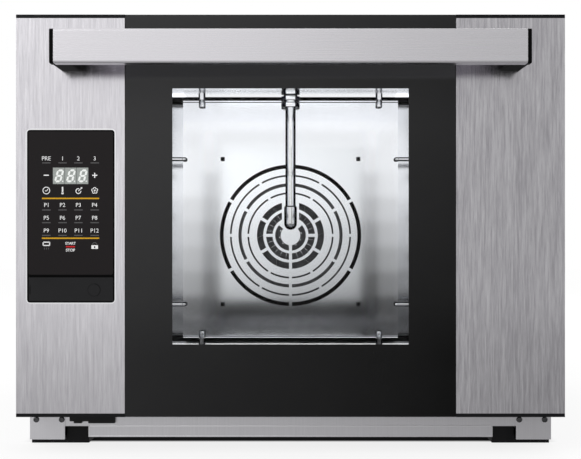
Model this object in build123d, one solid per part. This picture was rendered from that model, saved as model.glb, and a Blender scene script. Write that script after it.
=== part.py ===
from build123d import *
import os
from math import asin, cos, radians, sin, tan

# Countertop convection oven with a drop-down door. Millimetres.
# X runs to the right, Y to the back and Z up, as seen from the front.
# The origin is under the middle of the whole oven, on the surface it stands on.

# Overall size
WIDTH = 600.0
HEIGHT = 480.0
DEPTH = 660.0

# Sheet metal and clearances
SHEET = 1.2
LINER_SHEET = 1.0
FRAME_SHEET = 2.0
FIT = 0.3
RUNNING_FIT = 0.05

# Door
DOOR_BOTTOM = 40.0
DOOR_THICKNESS = 52.0
DOOR_EDGE_STRIP = 3.7
SKIN_WIDTH = 119.0
SKIN_TO_GLASS = 0.6
DOOR_FLANGE_SHEET = 2.0
DOOR_FLANGE_WIDTH = 43.0
POST_UNDER_GLASS = 14.0
POST_UNDER_SKIN = 8.0
POST_DEPTH = 12.0

# Door glass
OUTER_GLASS = 6.0
PRINT_THICKNESS = 0.6
BORDER_SIDE = 50.6
BORDER_BOTTOM = 79.0
BORDER_TOP = 80.0
WINDOW_CORNER = 3.0
INNER_GLASS = 5.0
INNER_GLASS_SIDE_MARGIN = 35.0
INNER_GLASS_BOTTOM_MARGIN = 2.0
INNER_GLASS_TOP_MARGIN = 6.0
INNER_GLASS_LAP = 10.0

# Inner door plate
DOOR_PLATE_SIDE_MARGIN = 30.0
DOOR_PLATE_BOTTOM_MARGIN = 20.0
DOOR_PLATE_TOP_MARGIN = 18.0
DOOR_PLATE_SHEET = 2.0
DOOR_PLATE_CORNER = 10.0

# Glass clips
CLIP_SHEET = 1.2
CLIP_HEIGHT = 16.0
CLIP_GRIP = 12.0
CLIP_FOOT = 15.0
CLIP_INSET = 45.0

# Light bars inside the door
LIGHT_BAR_BESIDE_WINDOW = 18.2
LIGHT_BAR_WIDTH = 16.0
LIGHT_BAR_DEPTH = 12.0
LIGHT_BAR_BEHIND_GLASS = 4.0

# Handle
HANDLE_REACH = 58.0
HANDLE_FROM_DOOR_SIDE = 49.0
HANDLE_HEIGHT = 36.0
HANDLE_DEPTH = 16.0
HANDLE_BELOW_DOOR_TOP = 26.0
HANDLE_CORNER = 2.5
HANDLE_WALL = 1.5
HANDLE_CAP = 4.0
HANDLE_ARM = 22.0

# Control panel
PANEL_FROM_DOOR_SIDE = 12.2
PANEL_WIDTH = 95.5
PANEL_ABOVE_DOOR_BOTTOM = 125.2
PANEL_HEIGHT = 188.6
PANEL_CORNER = 3.3
PANEL_PROUD = 0.6
PANEL_DEPTH = 26.0
PANEL_WALL = 1.8
PANEL_RIM = 1.5
PANEL_LEDGE = 3.0
TOUCH_GLASS = 3.0
TOUCH_GLASS_ABOVE_PANEL_BOTTOM = 30.4
COVER_HEIGHT = 27.9
COVER_THICKNESS = 1.6
COVER_POCKET = 3.0
COVER_GAP = 0.4
COVER_PIN = 0.7
COVER_PIN_LENGTH = 1.0
DISPLAY_FROM_PANEL_SIDE = 28.3
DISPLAY_WIDTH = 38.6
DISPLAY_BELOW_PANEL_TOP = 41.2
DISPLAY_HEIGHT = 17.9
DISPLAY_DEPTH = 6.0
CONTROL_BOARD = 1.6
CONTROL_BOARD_POST = 3.0
SOCKET_WIDTH = 15.0
SOCKET_HEIGHT = 8.0
SOCKET_DEPTH = 12.0
SOCKET_WELL = 30.0

# Hinges
HINGE_IN_FROM_DOOR_BACK = 12.0
HINGE_UP_FROM_DOOR_BOTTOM = 8.0
HINGE_PIN = 4.0
HINGE_FROM_DOOR_SIDE = 28.0
LUG_WIDTH = 11.0
LUG_RADIUS = 7.5
LUG_ARM = 12.0
LUG_FLANGE_HEIGHT = 25.0
LUG_FLANGE_WIDTH = 20.0
LUG_FLANGE_SHEET = 3.0
EAR_WIDTH = 10.2
EAR_GAP = 0.3
EAR_DEPTH = 20.0
EAR_HEIGHT = 26.0
BRIDGE_ABOVE_AXIS = 9.0

# Door stays
STAY_RADIUS = 95.0
STAY_WIDTH = 12.0
STAY_SHEET = 4.0
STAY_FROM_DOOR_SIDE = 19.0
STAY_START_ANGLE = -11.0
STAY_END_ANGLE = 97.0
STAY_SLOT_GAP = 1.5
STAY_BOSS = 4.5

# Cabinet
BODY_INSET = 2.0
BODY_BELOW_DOOR_TOP = 6.0
DOOR_TO_BASE = 4.0
BASE_BOTTOM = 7.9
BASE_TOP = 46.0
BASE_TO_FRAME = 2.0
BASE_CREASE = 21.0
BASE_RAIL_X = 150.0
BASE_RAIL_FLANGE = 20.0
REAR_STUB = 16.0

# Feet and foot plates
PAD_HEIGHT = 5.2
PLATE_WIDTH = 40.0
PLATE_TOP = 38.0
PLATE_DEPTH = 42.0
FOOT_BLOCK_WIDTH = 26.4
FOOT_BLOCK_HEIGHT = 20.0
FOOT_BLOCK_DEPTH = 23.0
FOOT_SETBACK = 6.5
PAD_DEPTH = 38.0
SCREW_HEAD = 3.4
SCREW_HEAD_HEIGHT = 1.5
SCREW_SHANK = 1.9
SCREW_LENGTH = 9.0
PLATE_SCREW_Z = 28.0
PLATE_SCREW_INSET = 7.3
PLATE_SCREW_PITCH = 29.1

# Chamber
CHAMBER_SIDE_SPACE = 58.0
CHAMBER_FLOOR_SPACE = 37.0
CHAMBER_ROOF_SPACE = 33.0
CHAMBER_REAR_SPACE = 114.8
CHAMBER_CORNER = 12.0
CHAMBER_FLANGE = 14.0
SEAL_WIDTH = 12.0
SEAL_SQUEEZE_GAP = 0.3
SEAL_OUTSET = 2.0

# Insulation
WOOL_SIDE = 24.0
WOOL_TOP = 18.0
WOOL_REAR = 23.0
WOOL_FRONT_GAP = 12.0

# Fan guard
FAN_ABOVE_FLOOR = 155.5
GUARD_WIDTH = 314.0
GUARD_BOTTOM_GAP = 6.0
GUARD_TOP_GAP = 5.5
GUARD_FROM_BACK = 71.0
GUARD_BEND = 3.5
SPOKE = 4.4
SPOKE_WIDE = 25.0
WEDGE_HALF_ANGLE = 48.5
GUARD_SCREW_X = 99.0
GUARD_SCREW_ABOVE_BOTTOM = 49.0
GUARD_SCREW_BELOW_TOP = 85.5
GUARD_SCREW_HEAD = 5.7
GUARD_SCREW_HEIGHT = 2.4
RETAINER_FROM_GUARD_SIDE = 28.0
RETAINER_STEM = 2.5
RETAINER_BALL = 4.0
RETAINER_NUT = 5.0
RETAINER_NUT_GAP = 0.5
RETAINER_LENGTH = 13.0

# Fan, motor and heater
FAN_RADIUS = 95.0
FAN_SHEET = 1.5
FAN_BLADES = 12
FAN_BLADE_INNER = 42.0
FAN_BLADE_LEAN = 22.0
FAN_INLET = 70.0
FAN_HUB = 18.0
FAN_FROM_GUARD = 13.0
FAN_DEPTH = 38.0
SHAFT = 6.0
SHAFT_HOLE = 8.0
NUT_SIZE = 9.0
NUT_HEIGHT = 8.0
MOTOR_FLANGE = 130.0
MOTOR_FLANGE_SHEET = 3.0
MOTOR_RADIUS = 46.0
MOTOR_LENGTH = 70.0
MOTOR_BELL_RADIUS = 30.0
MOTOR_BELL = 6.0
HEATER_RADIUS = 112.0
HEATER_WIRE = 4.0
HEATER_FROM_GUARD = 23.0
HEATER_PITCH = 16.0
HEATER_LEGS = (-35.0, -45.0)
HEATER_TAIL = 3.4

# Steam pipe and its water feed
PIPE_RADIUS = 7.3
PIPE_FROM_GUARD = 13.0
SLEEVE_RADIUS = 9.2
SLEEVE_ABOVE_FAN_CENTRE = 8.2
SLEEVE_LENGTH = 32.8
SPOUT_RADIUS = 5.0
SPOUT_HOLE = 3.5
FITTING_RADIUS = 10.0
FITTING_LENGTH = 17.0
FITTING_NUT = 13.5
FITTING_NUT_HEIGHT = 6.0
FITTING_STUD = 9.0
FEED_RADIUS = 3.0
FEED_BEND = 9.0
FEED_ABOVE_WOOL = 4.0
FEED_DROP_FROM_REAR = 50.8
VALVE_FROM_BODY_SIDE = 98.0
VALVE_ABOVE_BASE = 52.0
VALVE_SIZE = 40.0
VALVE_DEPTH = 50.0
INLET_THREAD = 13.1
INLET_BOSS = 15.0
INLET_BORE = 8.0

# Tray racks
RACK_WIRE = 3.0
RACK_FROM_WALL = 8.0
RAIL_FROM_WALL = 24.0
RACK_FRONT_FROM_MOUTH = 47.0
RACK_REAR_FROM_GUARD = 6.0
RACK_END_GAP = 17.0
RACK_BEND = 5.0
LEVELS = 4
LEVEL_PITCH = 75.0
LEVEL_ABOVE_FLOOR = 39.0
ROD_BELOW_UPPER_SCREWS = 0.7
ROD_OVER_GUARD = 6.0
ROD_GROOVE = 0.6

# Temperature probe and flue
PROBE_RADIUS = 2.5
PROBE_LENGTH = 36.0
PROBE_GLAND = 6.0
PROBE_BEHIND_GUARD = 13.0
PROBE_BELOW_ROOF = 41.0
FLUE_RADIUS = 15.0
FLUE_WALL = 1.0
FLUE_SPIGOT = 14.4
FLUE_FROM_CHAMBER_SIDE = 105.0
FLUE_BELOW_ROOF = 36.0

# Electrical space
BOARD_BESIDE_MOTOR = 20.0
BOARD_WIDTH = 160.0
BOARD_ABOVE_BASE = 144.0
BOARD_HEIGHT = 140.0
BOARD_STANDOFF = 20.0
BOARD_POST = 4.0
BOARD_SHEET = 1.6
BOARD_EDGE = 8.0
RELAY_SIZE = 22.0
RELAY_COUNT = 4
COIL_SIZE = 44.0
GLAND_FROM_BODY_SIDE = 58.0
GLAND_ABOVE_BASE = 52.0
GLAND_THREAD = 10.0
GLAND_NUT = 13.0
GLAND_BORE = 6.5
GLAND_INSIDE = 6.0
COOLER_FROM_GLAND = 90.0
COOLER_ABOVE_BASE = 84.0
COOLER_SIZE = 80.0
COOLER_DEPTH = 20.0
COOLER_DUCT = 37.5
COOLER_HUB = 14.0
COOLER_BLADES = 7
COOLER_PIN = 2.0
COOLER_SPIDER = 3.0
COOLER_GAP = 0.5

# Vents
LOUVRE_LENGTH = 60.0
LOUVRE_HEIGHT = 4.0
LOUVRE_PITCH = 12.0
LOUVRE_ROWS = 6
LOUVRE_FROM_REAR = 60.0
LOUVRE_ABOVE_BASE = 24.0
REAR_LOUVRE_INSET = 128.0
REAR_LOUVRE_BELOW_TOP = 69.0
COOLER_SLOTS = 3

# Cover over the door's wiring
WIRING_FROM_DOOR_SIDE = 48.0
WIRING_WIDTH = 51.7
WIRING_HEIGHT = 9.6
WIRING_STEP = 2.1
WIRING_DEPTH = 5.0
WIRING_TAB_START = 4.7
WIRING_TAB_WIDTH = 9.3
WIRING_LOW_PART = 30.5

# Places that follow from the sizes above
HALF = WIDTH / 2
DOOR_FRONT = -DEPTH / 2 + HANDLE_REACH
DOOR_BACK = DOOR_FRONT + DOOR_THICKNESS
BASE_FRONT = DOOR_BACK + DOOR_TO_BASE
FRAME_FRONT = BASE_FRONT + BASE_TO_FRAME
FRAME_BACK = FRAME_FRONT + FRAME_SHEET
REAR_FACE = DEPTH / 2 - REAR_STUB
REAR_INNER = REAR_FACE - SHEET
BODY_HALF = HALF - BODY_INSET
BODY_TOP = HEIGHT - BODY_BELOW_DOOR_TOP
CHAMBER_HALF = BODY_HALF - CHAMBER_SIDE_SPACE
CHAMBER_BOTTOM = BASE_TOP + CHAMBER_FLOOR_SPACE
CHAMBER_TOP = BODY_TOP - CHAMBER_ROOF_SPACE
CHAMBER_BACK = REAR_INNER - CHAMBER_REAR_SPACE
BULKHEAD_FRONT = CHAMBER_BACK + LINER_SHEET + WOOL_REAR
BULKHEAD_BACK = BULKHEAD_FRONT + SHEET
GUARD_HALF = GUARD_WIDTH / 2
GUARD_BOTTOM = CHAMBER_BOTTOM + GUARD_BOTTOM_GAP
GUARD_TOP = CHAMBER_TOP - GUARD_TOP_GAP
GUARD_FRONT = CHAMBER_BACK - GUARD_FROM_BACK
GUARD_SCREW_LOW = GUARD_BOTTOM + GUARD_SCREW_ABOVE_BOTTOM
GUARD_SCREW_HIGH = GUARD_TOP - GUARD_SCREW_BELOW_TOP
RETAINER_X = GUARD_HALF - RETAINER_FROM_GUARD_SIDE
FAN_Z = CHAMBER_BOTTOM + FAN_ABOVE_FLOOR
FAN_FRONT = GUARD_FRONT + FAN_FROM_GUARD
FAN_BACK = FAN_FRONT + FAN_DEPTH
PIPE_Y = GUARD_FRONT - PIPE_FROM_GUARD
SLEEVE_BOTTOM = FAN_Z + SLEEVE_ABOVE_FAN_CENTRE
SLEEVE_TOP = SLEEVE_BOTTOM + SLEEVE_LENGTH
HINGE_Y = DOOR_BACK - HINGE_IN_FROM_DOOR_BACK
HINGE_Z = DOOR_BOTTOM + HINGE_UP_FROM_DOOR_BOTTOM
HINGE_X = HALF - HINGE_FROM_DOOR_SIDE
STAY_X = HALF - STAY_FROM_DOOR_SIDE
SKIN_EDGE = HALF - SKIN_WIDTH
GLASS_HALF = SKIN_EDGE - SKIN_TO_GLASS
WINDOW_HALF = GLASS_HALF - BORDER_SIDE
WINDOW_BOTTOM = DOOR_BOTTOM + BORDER_BOTTOM
WINDOW_TOP = HEIGHT - BORDER_TOP
LIGHT_BAR_X = WINDOW_HALF + LIGHT_BAR_BESIDE_WINDOW
INNER_GLASS_HALF = CHAMBER_HALF - INNER_GLASS_SIDE_MARGIN
INNER_GLASS_BOTTOM = CHAMBER_BOTTOM + INNER_GLASS_BOTTOM_MARGIN
INNER_GLASS_TOP = CHAMBER_TOP - INNER_GLASS_TOP_MARGIN
GLASS_SEAT = DOOR_FRONT + OUTER_GLASS + PRINT_THICKNESS
STRIP_LOW = DOOR_BOTTOM + DOOR_EDGE_STRIP
STRIP_HIGH = HEIGHT - DOOR_EDGE_STRIP
PLATE_FRONT = DOOR_BACK - DOOR_PLATE_SHEET
HANDLE_BACK = -DEPTH / 2 + HANDLE_DEPTH
HANDLE_HALF = HALF - HANDLE_FROM_DOOR_SIDE
HANDLE_TOP = HEIGHT - HANDLE_BELOW_DOOR_TOP
HANDLE_BOTTOM = HANDLE_TOP - HANDLE_HEIGHT
PANEL_LEFT = -HALF + PANEL_FROM_DOOR_SIDE
PANEL_RIGHT = PANEL_LEFT + PANEL_WIDTH
PANEL_BOTTOM = DOOR_BOTTOM + PANEL_ABOVE_DOOR_BOTTOM
PANEL_TOP = PANEL_BOTTOM + PANEL_HEIGHT
PANEL_FRONT = DOOR_FRONT - PANEL_PROUD
PANEL_BACK = PANEL_FRONT + PANEL_DEPTH
TOUCH_GLASS_BOTTOM = PANEL_BOTTOM + TOUCH_GLASS_ABOVE_PANEL_BOTTOM
COVER_TOP = PANEL_BOTTOM + COVER_HEIGHT
DISPLAY_LEFT = PANEL_LEFT + DISPLAY_FROM_PANEL_SIDE
DISPLAY_TOP = PANEL_TOP - DISPLAY_BELOW_PANEL_TOP
RACK_X = CHAMBER_HALF - RACK_FROM_WALL
RAIL_X = CHAMBER_HALF - RAIL_FROM_WALL
RACK_BOTTOM = CHAMBER_BOTTOM + RACK_END_GAP
RACK_TOP = CHAMBER_TOP - RACK_END_GAP
LEVEL_FIRST = CHAMBER_BOTTOM + LEVEL_ABOVE_FLOOR
ROD_LOW = GUARD_SCREW_LOW
ROD_HIGH = GUARD_SCREW_HIGH - ROD_BELOW_UPPER_SCREWS
ROD_TIP_X = GUARD_HALF - ROD_OVER_GUARD
RACK_FRONT = FRAME_BACK + RACK_FRONT_FROM_MOUTH
RACK_REAR = GUARD_FRONT - RACK_REAR_FROM_GUARD
WOOL_FRONT = FRAME_BACK + WOOL_FRONT_GAP
WOOL_TOP_Z = CHAMBER_TOP + LINER_SHEET + WOOL_TOP
FEED_Z = WOOL_TOP_Z + FEED_ABOVE_WOOL + FEED_RADIUS
FEED_DROP_Y = REAR_INNER - FEED_DROP_FROM_REAR
VALVE_X = -BODY_HALF + VALVE_FROM_BODY_SIDE
VALVE_Z = BASE_TOP + VALVE_ABOVE_BASE
PROBE_Y = GUARD_FRONT + PROBE_BEHIND_GUARD
PROBE_Z = CHAMBER_TOP - PROBE_BELOW_ROOF
FLUE_X = CHAMBER_HALF - FLUE_FROM_CHAMBER_SIDE
FLUE_Z = CHAMBER_TOP - FLUE_BELOW_ROOF
GLAND_X = BODY_HALF - GLAND_FROM_BODY_SIDE
GLAND_Z = BASE_TOP + GLAND_ABOVE_BASE
COOLER_X = GLAND_X - COOLER_FROM_GLAND
COOLER_Z = BASE_TOP + COOLER_ABOVE_BASE
BOARD_LEFT = MOTOR_FLANGE / 2 + BOARD_BESIDE_MOTOR
BOARD_RIGHT = BOARD_LEFT + BOARD_WIDTH
BOARD_BOTTOM = BASE_TOP + BOARD_ABOVE_BASE
BOARD_TOP = BOARD_BOTTOM + BOARD_HEIGHT
WIRING_LEFT = -HALF + WIRING_FROM_DOOR_SIDE
WIRING_RIGHT = WIRING_LEFT + WIRING_WIDTH
WIRING_TOP = DOOR_BOTTOM - DOOR_TO_BASE
WIRING_BOTTOM = WIRING_TOP - WIRING_HEIGHT

# Ring slots of the fan guard: inner radius, outer radius, spoke angles, how the top is closed
GUARD_SLOTS = (
    (14.3, 22.4, (270,), "wedge"),
    (26.3, 35.6, (0, 180, 270), "bar"),
    (39.8, 49.0, (30, 150, 210, 270, 330), "bar"),
    (60.4, 62.9, (0, 60, 90, 120, 180, 240, 270, 300), "spoke"),
    (71.4, 76.1, (30, 90, 150, 210, 270, 330), "spoke"),
    (85.9, 88.5, (0, 60, 90, 120, 180, 240, 270, 300), "spoke"),
    (97.7, 103.3, (30, 90, 150, 210, 270, 330), "spoke"),
)


def block(xs, ys, zs):
    """A plain block from its two limits along each axis."""
    limits = (sorted(xs), sorted(ys), sorted(zs))
    centre = [(low + high) / 2 for low, high in limits]
    size = [high - low for low, high in limits]
    return Pos(*centre) * Box(*size)


def outline(xs, zs, radius=0.0):
    """A rectangle as seen from the front, with round corners where a radius is given."""
    x_low, x_high = sorted(xs)
    z_low, z_high = sorted(zs)
    width = x_high - x_low
    height = z_high - z_low
    shape = RectangleRounded(width, height, radius) if radius > 0 else Rectangle(width, height)
    return Pos((x_low + x_high) / 2, (z_low + z_high) / 2) * shape


def slab(shape, y_front, y_back):
    """A flat shape drawn as seen from the front, solid from y_front to y_back."""
    back = Plane(origin=(0, y_back, 0), x_dir=(1, 0, 0), z_dir=(0, -1, 0))
    return extrude(back * shape, amount=y_back - y_front)


def side_slab(shape, x_low, x_high):
    """A flat shape drawn in Y and Z, solid from x_low to x_high."""
    start = Plane(origin=(x_low, 0, 0), x_dir=(0, 1, 0), z_dir=(1, 0, 0))
    return extrude(start * shape, amount=x_high - x_low)


def rod(start, end, radius):
    """A round bar between two points."""
    run = Vector(*end) - Vector(*start)
    seat = Plane(origin=start, z_dir=run)
    bottom = (Align.CENTER, Align.CENTER, Align.MIN)
    return seat * Cylinder(radius, run.length, align=bottom)


def hex_bar(start, end, across_corners):
    """A six-sided bar between two points."""
    run = Vector(*end) - Vector(*start)
    seat = Plane(origin=start, z_dir=run)
    return extrude(seat * RegularPolygon(across_corners, 6), amount=run.length)


def bent_rod(points, radius, bend):
    """A round wire through points, with round bends."""
    path = FilletPolyline(*points, radius=bend)
    start = Plane(origin=path @ 0, z_dir=path % 0)
    return sweep(start * Circle(radius), path=path)


def both_sides(part):
    """A part on the right and its mirror image on the left."""
    return part, mirror(part, about=Plane.YZ)


def group(parts):
    """Separate solids kept together in one node."""
    return Compound(children=[solid for part in parts for solid in part.solids()])


def panel_outline(inset):
    """The control panel's outline, smaller all round by an inset."""
    xs = (PANEL_LEFT + inset, PANEL_RIGHT - inset)
    zs = (PANEL_BOTTOM + inset, PANEL_TOP - inset)
    return outline(xs, zs, PANEL_CORNER - inset)


def mouth_outline(grow):
    """The chamber's mouth, larger all round by a given amount."""
    xs = (-CHAMBER_HALF - grow, CHAMBER_HALF + grow)
    zs = (CHAMBER_BOTTOM - grow, CHAMBER_TOP + grow)
    return outline(xs, zs, CHAMBER_CORNER + grow)


def window_outline():
    """The clear window in the outer glass."""
    return outline((-WINDOW_HALF, WINDOW_HALF), (WINDOW_BOTTOM, WINDOW_TOP), WINDOW_CORNER)


def stay_ring(gap):
    """The full ring that a door stay runs in, with a gap each side."""
    half = STAY_WIDTH / 2 + gap
    ring = Circle(STAY_RADIUS + half) - Circle(STAY_RADIUS - half)
    placed = Pos(HINGE_Y, HINGE_Z) * ring
    width = STAY_SHEET / 2 + gap
    return side_slab(placed, STAY_X - width, STAY_X + width)


# Base and feet


def foot_notch(side):
    """The opening in the base's front or rear wall that the foot's block shows through."""
    inner = BODY_HALF - PLATE_WIDTH - FOOT_BLOCK_WIDTH - FIT
    return (side * inner, side * (BODY_HALF - PLATE_WIDTH))


def base_pan():
    xs = (-BODY_HALF, BODY_HALF)
    ys = (BASE_FRONT, REAR_INNER)
    inner_x = (-BODY_HALF + SHEET, BODY_HALF - SHEET)
    inner_y = (BASE_FRONT + SHEET, REAR_INNER - SHEET)
    pan = block(xs, ys, (BASE_BOTTOM, BASE_TOP))
    pan -= block(inner_x, inner_y, (BASE_BOTTOM + SHEET, BASE_TOP + SHEET))
    for side in (-1, 1):
        notch_z = (BASE_BOTTOM - SHEET, FOOT_BLOCK_HEIGHT + FIT)
        depth = FOOT_SETBACK + FOOT_BLOCK_DEPTH + FIT
        pan -= block(foot_notch(side), (BASE_FRONT - SHEET, BASE_FRONT + depth), notch_z)
        pan -= block(foot_notch(side), (REAR_INNER - depth, REAR_INNER + SHEET), notch_z)
        web = (side * BASE_RAIL_X, side * (BASE_RAIL_X + SHEET))
        pan += block(web, inner_y, (BASE_BOTTOM, BASE_TOP))
        flange = (side * BASE_RAIL_X, side * (BASE_RAIL_X + BASE_RAIL_FLANGE))
        pan += block(flange, inner_y, (BASE_TOP - SHEET, BASE_TOP))
    crease = FIT
    pan -= block(xs, (BASE_FRONT, BASE_FRONT + crease), (BASE_CREASE, BASE_CREASE + crease))
    for x, y, z in plate_screw_places():
        pan -= rod((x, y - SCREW_LENGTH, z), (x, y + SCREW_LENGTH, z), SCREW_SHANK)
    return pan


def plate_screw_places():
    """Screw places on the foot plates: on the front wall and on the rear wall."""
    places = []
    for side in (-1, 1):
        outer = BODY_HALF - PLATE_SCREW_INSET
        for x in (outer, outer - PLATE_SCREW_PITCH):
            places.append((side * x, BASE_FRONT, PLATE_SCREW_Z))
            places.append((side * x, REAR_INNER, PLATE_SCREW_Z))
    return places


def foot_plates():
    plates = []
    outer = BODY_HALF
    inner = BODY_HALF - PLATE_WIDTH
    for side in (-1, 1):
        for wall, back in ((BASE_FRONT, -1), (REAR_INNER, 1)):
            xs = (side * inner, side * outer)
            face = block(xs, (wall, wall + back * SHEET), (PAD_HEIGHT, PLATE_TOP))
            tongue = (wall + back * SHEET, wall - back * PLATE_DEPTH)
            plate = face + block(xs, tongue, (PAD_HEIGHT, BASE_BOTTOM))
            for x, y, z in plate_screw_places():
                hole = rod((x, y - SCREW_LENGTH, z), (x, y + SCREW_LENGTH, z), SCREW_SHANK)
                plate -= hole
            plates.append(plate)
    return group(plates)


def foot(side, front):
    """A rubber foot: a flat pad under the plate and a block inside the notch."""
    wall = BASE_FRONT if front else REAR_INNER
    inward = 1 if front else -1
    start = wall + inward * FOOT_SETBACK
    block_inner = BODY_HALF - PLATE_WIDTH - FOOT_BLOCK_WIDTH
    block_outer = BODY_HALF - PLATE_WIDTH - FIT
    xs = (side * block_inner, side * (BODY_HALF - FIT))
    pad = block(xs, (start, start + inward * PAD_DEPTH), (0, PAD_HEIGHT))
    block_x = (side * block_inner, side * block_outer)
    core = block(block_x, (start, start + inward * FOOT_BLOCK_DEPTH), (0, FOOT_BLOCK_HEIGHT))
    return pad + core


def screw(place, outward):
    """A round-headed screw whose shank points against the outward direction."""
    x, y, z = place
    head = rod((x, y, z), (x, y + outward * SCREW_HEAD_HEIGHT, z), SCREW_HEAD)
    shank = rod((x, y, z), (x, y - outward * SCREW_LENGTH, z), SCREW_SHANK - FIT / 2)
    return head + shank


def base_screws():
    screws = []
    for x, y, z in plate_screw_places():
        outward = -1 if y == BASE_FRONT else 1
        screws.append(screw((x, y + outward * SHEET, z), outward))
    return group(screws)


# Cabinet panels


def louvres(middle, z_start):
    """Rows of level slots, about a middle line, from a lowest height upwards."""
    slots = Sketch()
    for row in range(LOUVRE_ROWS):
        slot = SlotOverall(LOUVRE_LENGTH, LOUVRE_HEIGHT)
        slots += Pos(middle, z_start + row * LOUVRE_PITCH) * slot
    return slots


def side_panel(side):
    xs = (side * (BODY_HALF - SHEET), side * BODY_HALF)
    panel = block(xs, (FRAME_BACK, REAR_INNER), (BASE_TOP, BODY_TOP - SHEET))
    x_low = min(xs) - SHEET
    vents = louvres(REAR_INNER - LOUVRE_FROM_REAR, BASE_TOP + LOUVRE_ABOVE_BASE)
    return panel - side_slab(vents, x_low, x_low + 3 * SHEET)


def top_cover():
    return block((-BODY_HALF, BODY_HALF), (FRAME_BACK, REAR_FACE), (BODY_TOP - SHEET, BODY_TOP))


def rear_panel():
    xs = (-BODY_HALF, BODY_HALF)
    shape = outline(xs, (BASE_TOP, BODY_TOP - SHEET))
    shape -= Pos(FLUE_X, FLUE_Z) * Circle(FLUE_RADIUS + FIT)
    shape -= Pos(VALVE_X, VALVE_Z) * Circle(INLET_BOSS + FIT)
    shape -= Pos(GLAND_X, GLAND_Z) * Circle(GLAND_THREAD + FIT)
    first = -BODY_HALF + REAR_LOUVRE_INSET
    low = BODY_TOP - REAR_LOUVRE_BELOW_TOP - LOUVRE_PITCH * LOUVRE_ROWS
    shape -= louvres(first, low)
    shape -= louvres(first + LOUVRE_LENGTH + LOUVRE_PITCH, low)
    ring = (COOLER_DUCT - COOLER_HUB) / COOLER_SLOTS
    for number in range(COOLER_SLOTS):
        inner = COOLER_HUB + number * ring
        slot = Circle(inner + ring / 2) - Circle(inner)
        slot -= Rectangle(2 * COOLER_SIZE, SPOKE) + Rectangle(SPOKE, 2 * COOLER_SIZE)
        shape -= Pos(COOLER_X, COOLER_Z) * slot
    return slab(shape, REAR_INNER, REAR_FACE)


def front_frame():
    shape = outline((-BODY_HALF, BODY_HALF), (BASE_TOP, BODY_TOP)) - mouth_outline(0)
    plate = slab(shape, FRAME_FRONT, FRAME_BACK)
    for slot in both_sides(stay_ring(STAY_SLOT_GAP)):
        plate -= slot
    return plate


def rear_bulkhead():
    xs = (-BODY_HALF + SHEET + FIT, BODY_HALF - SHEET - FIT)
    shape = outline(xs, (BASE_TOP, BODY_TOP - SHEET))
    shape -= Pos(0, FAN_Z) * Circle(SHAFT_HOLE)
    shape -= Pos(FLUE_X, FLUE_Z) * Circle(FLUE_RADIUS + FIT)
    shape -= Pos(0, FEED_Z) * Circle(FEED_RADIUS + FIT)
    return slab(shape, BULKHEAD_FRONT, BULKHEAD_BACK)


# Chamber


def heater_leg_places():
    """Where the heater's two tails pass through the chamber's back."""
    places = []
    for angle in HEATER_LEGS:
        x = HEATER_RADIUS * cos(radians(angle))
        z = FAN_Z + HEATER_RADIUS * sin(radians(angle))
        places.append((x, z))
    return places


def rear_holes(gap):
    """Holes for the shaft, the flue and the heater's tails."""
    holes = Pos(0, FAN_Z) * Circle(SHAFT_HOLE)
    holes += Pos(FLUE_X, FLUE_Z) * Circle(FLUE_RADIUS + gap)
    for x, z in heater_leg_places():
        holes += Pos(x, z) * Circle(HEATER_TAIL + gap)
    return holes


def chamber_liner():
    wall = slab(mouth_outline(LINER_SHEET) - mouth_outline(0), FRAME_BACK, CHAMBER_BACK)
    back_plate = mouth_outline(LINER_SHEET) - rear_holes(FIT)
    wall += slab(back_plate, CHAMBER_BACK, CHAMBER_BACK + LINER_SHEET)
    flange = mouth_outline(CHAMBER_FLANGE) - mouth_outline(0)
    wall += slab(flange, FRAME_BACK, FRAME_BACK + LINER_SHEET)
    ceiling = (CHAMBER_TOP - LINER_SHEET, CHAMBER_TOP + 2 * LINER_SHEET)
    wall -= rod((0, PIPE_Y, ceiling[0]), (0, PIPE_Y, ceiling[1]), FITTING_STUD + FIT)
    probe_x = (CHAMBER_HALF - LINER_SHEET, CHAMBER_HALF + 2 * LINER_SHEET)
    wall -= rod((probe_x[0], PROBE_Y, PROBE_Z), (probe_x[1], PROBE_Y, PROBE_Z), PROBE_RADIUS + FIT)
    return wall


def chamber_gasket():
    ring = mouth_outline(SEAL_OUTSET + SEAL_WIDTH) - mouth_outline(SEAL_OUTSET)
    return slab(ring, DOOR_BACK + SEAL_SQUEEZE_GAP, FRAME_FRONT)


def insulation_top():
    zs = (CHAMBER_TOP + LINER_SHEET, WOOL_TOP_Z)
    wool = block((-CHAMBER_HALF, CHAMBER_HALF), (WOOL_FRONT, CHAMBER_BACK), zs)
    return wool - rod((0, PIPE_Y, zs[0] - FIT), (0, PIPE_Y, zs[1] + FIT), FITTING_STUD + FIT)


def insulation_bottom():
    zs = (BASE_TOP, CHAMBER_BOTTOM - LINER_SHEET)
    return block((-CHAMBER_HALF, CHAMBER_HALF), (WOOL_FRONT, CHAMBER_BACK), zs)


def insulation_sides():
    inner = CHAMBER_HALF + LINER_SHEET
    zs = (CHAMBER_BOTTOM, CHAMBER_TOP)
    wool = block((inner, inner + WOOL_SIDE), (WOOL_FRONT, CHAMBER_BACK), zs)
    wool -= rod((inner - FIT, PROBE_Y, PROBE_Z), (HALF, PROBE_Y, PROBE_Z), PROBE_GLAND + FIT)
    left = block((-inner - WOOL_SIDE, -inner), (WOOL_FRONT, CHAMBER_BACK), zs)
    return group([wool, left])


def insulation_rear():
    shape = outline((-CHAMBER_HALF, CHAMBER_HALF), (CHAMBER_BOTTOM, CHAMBER_TOP))
    return slab(shape - rear_holes(FIT), CHAMBER_BACK + LINER_SHEET, BULKHEAD_FRONT)


# Fan guard and what is in front of it


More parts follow.
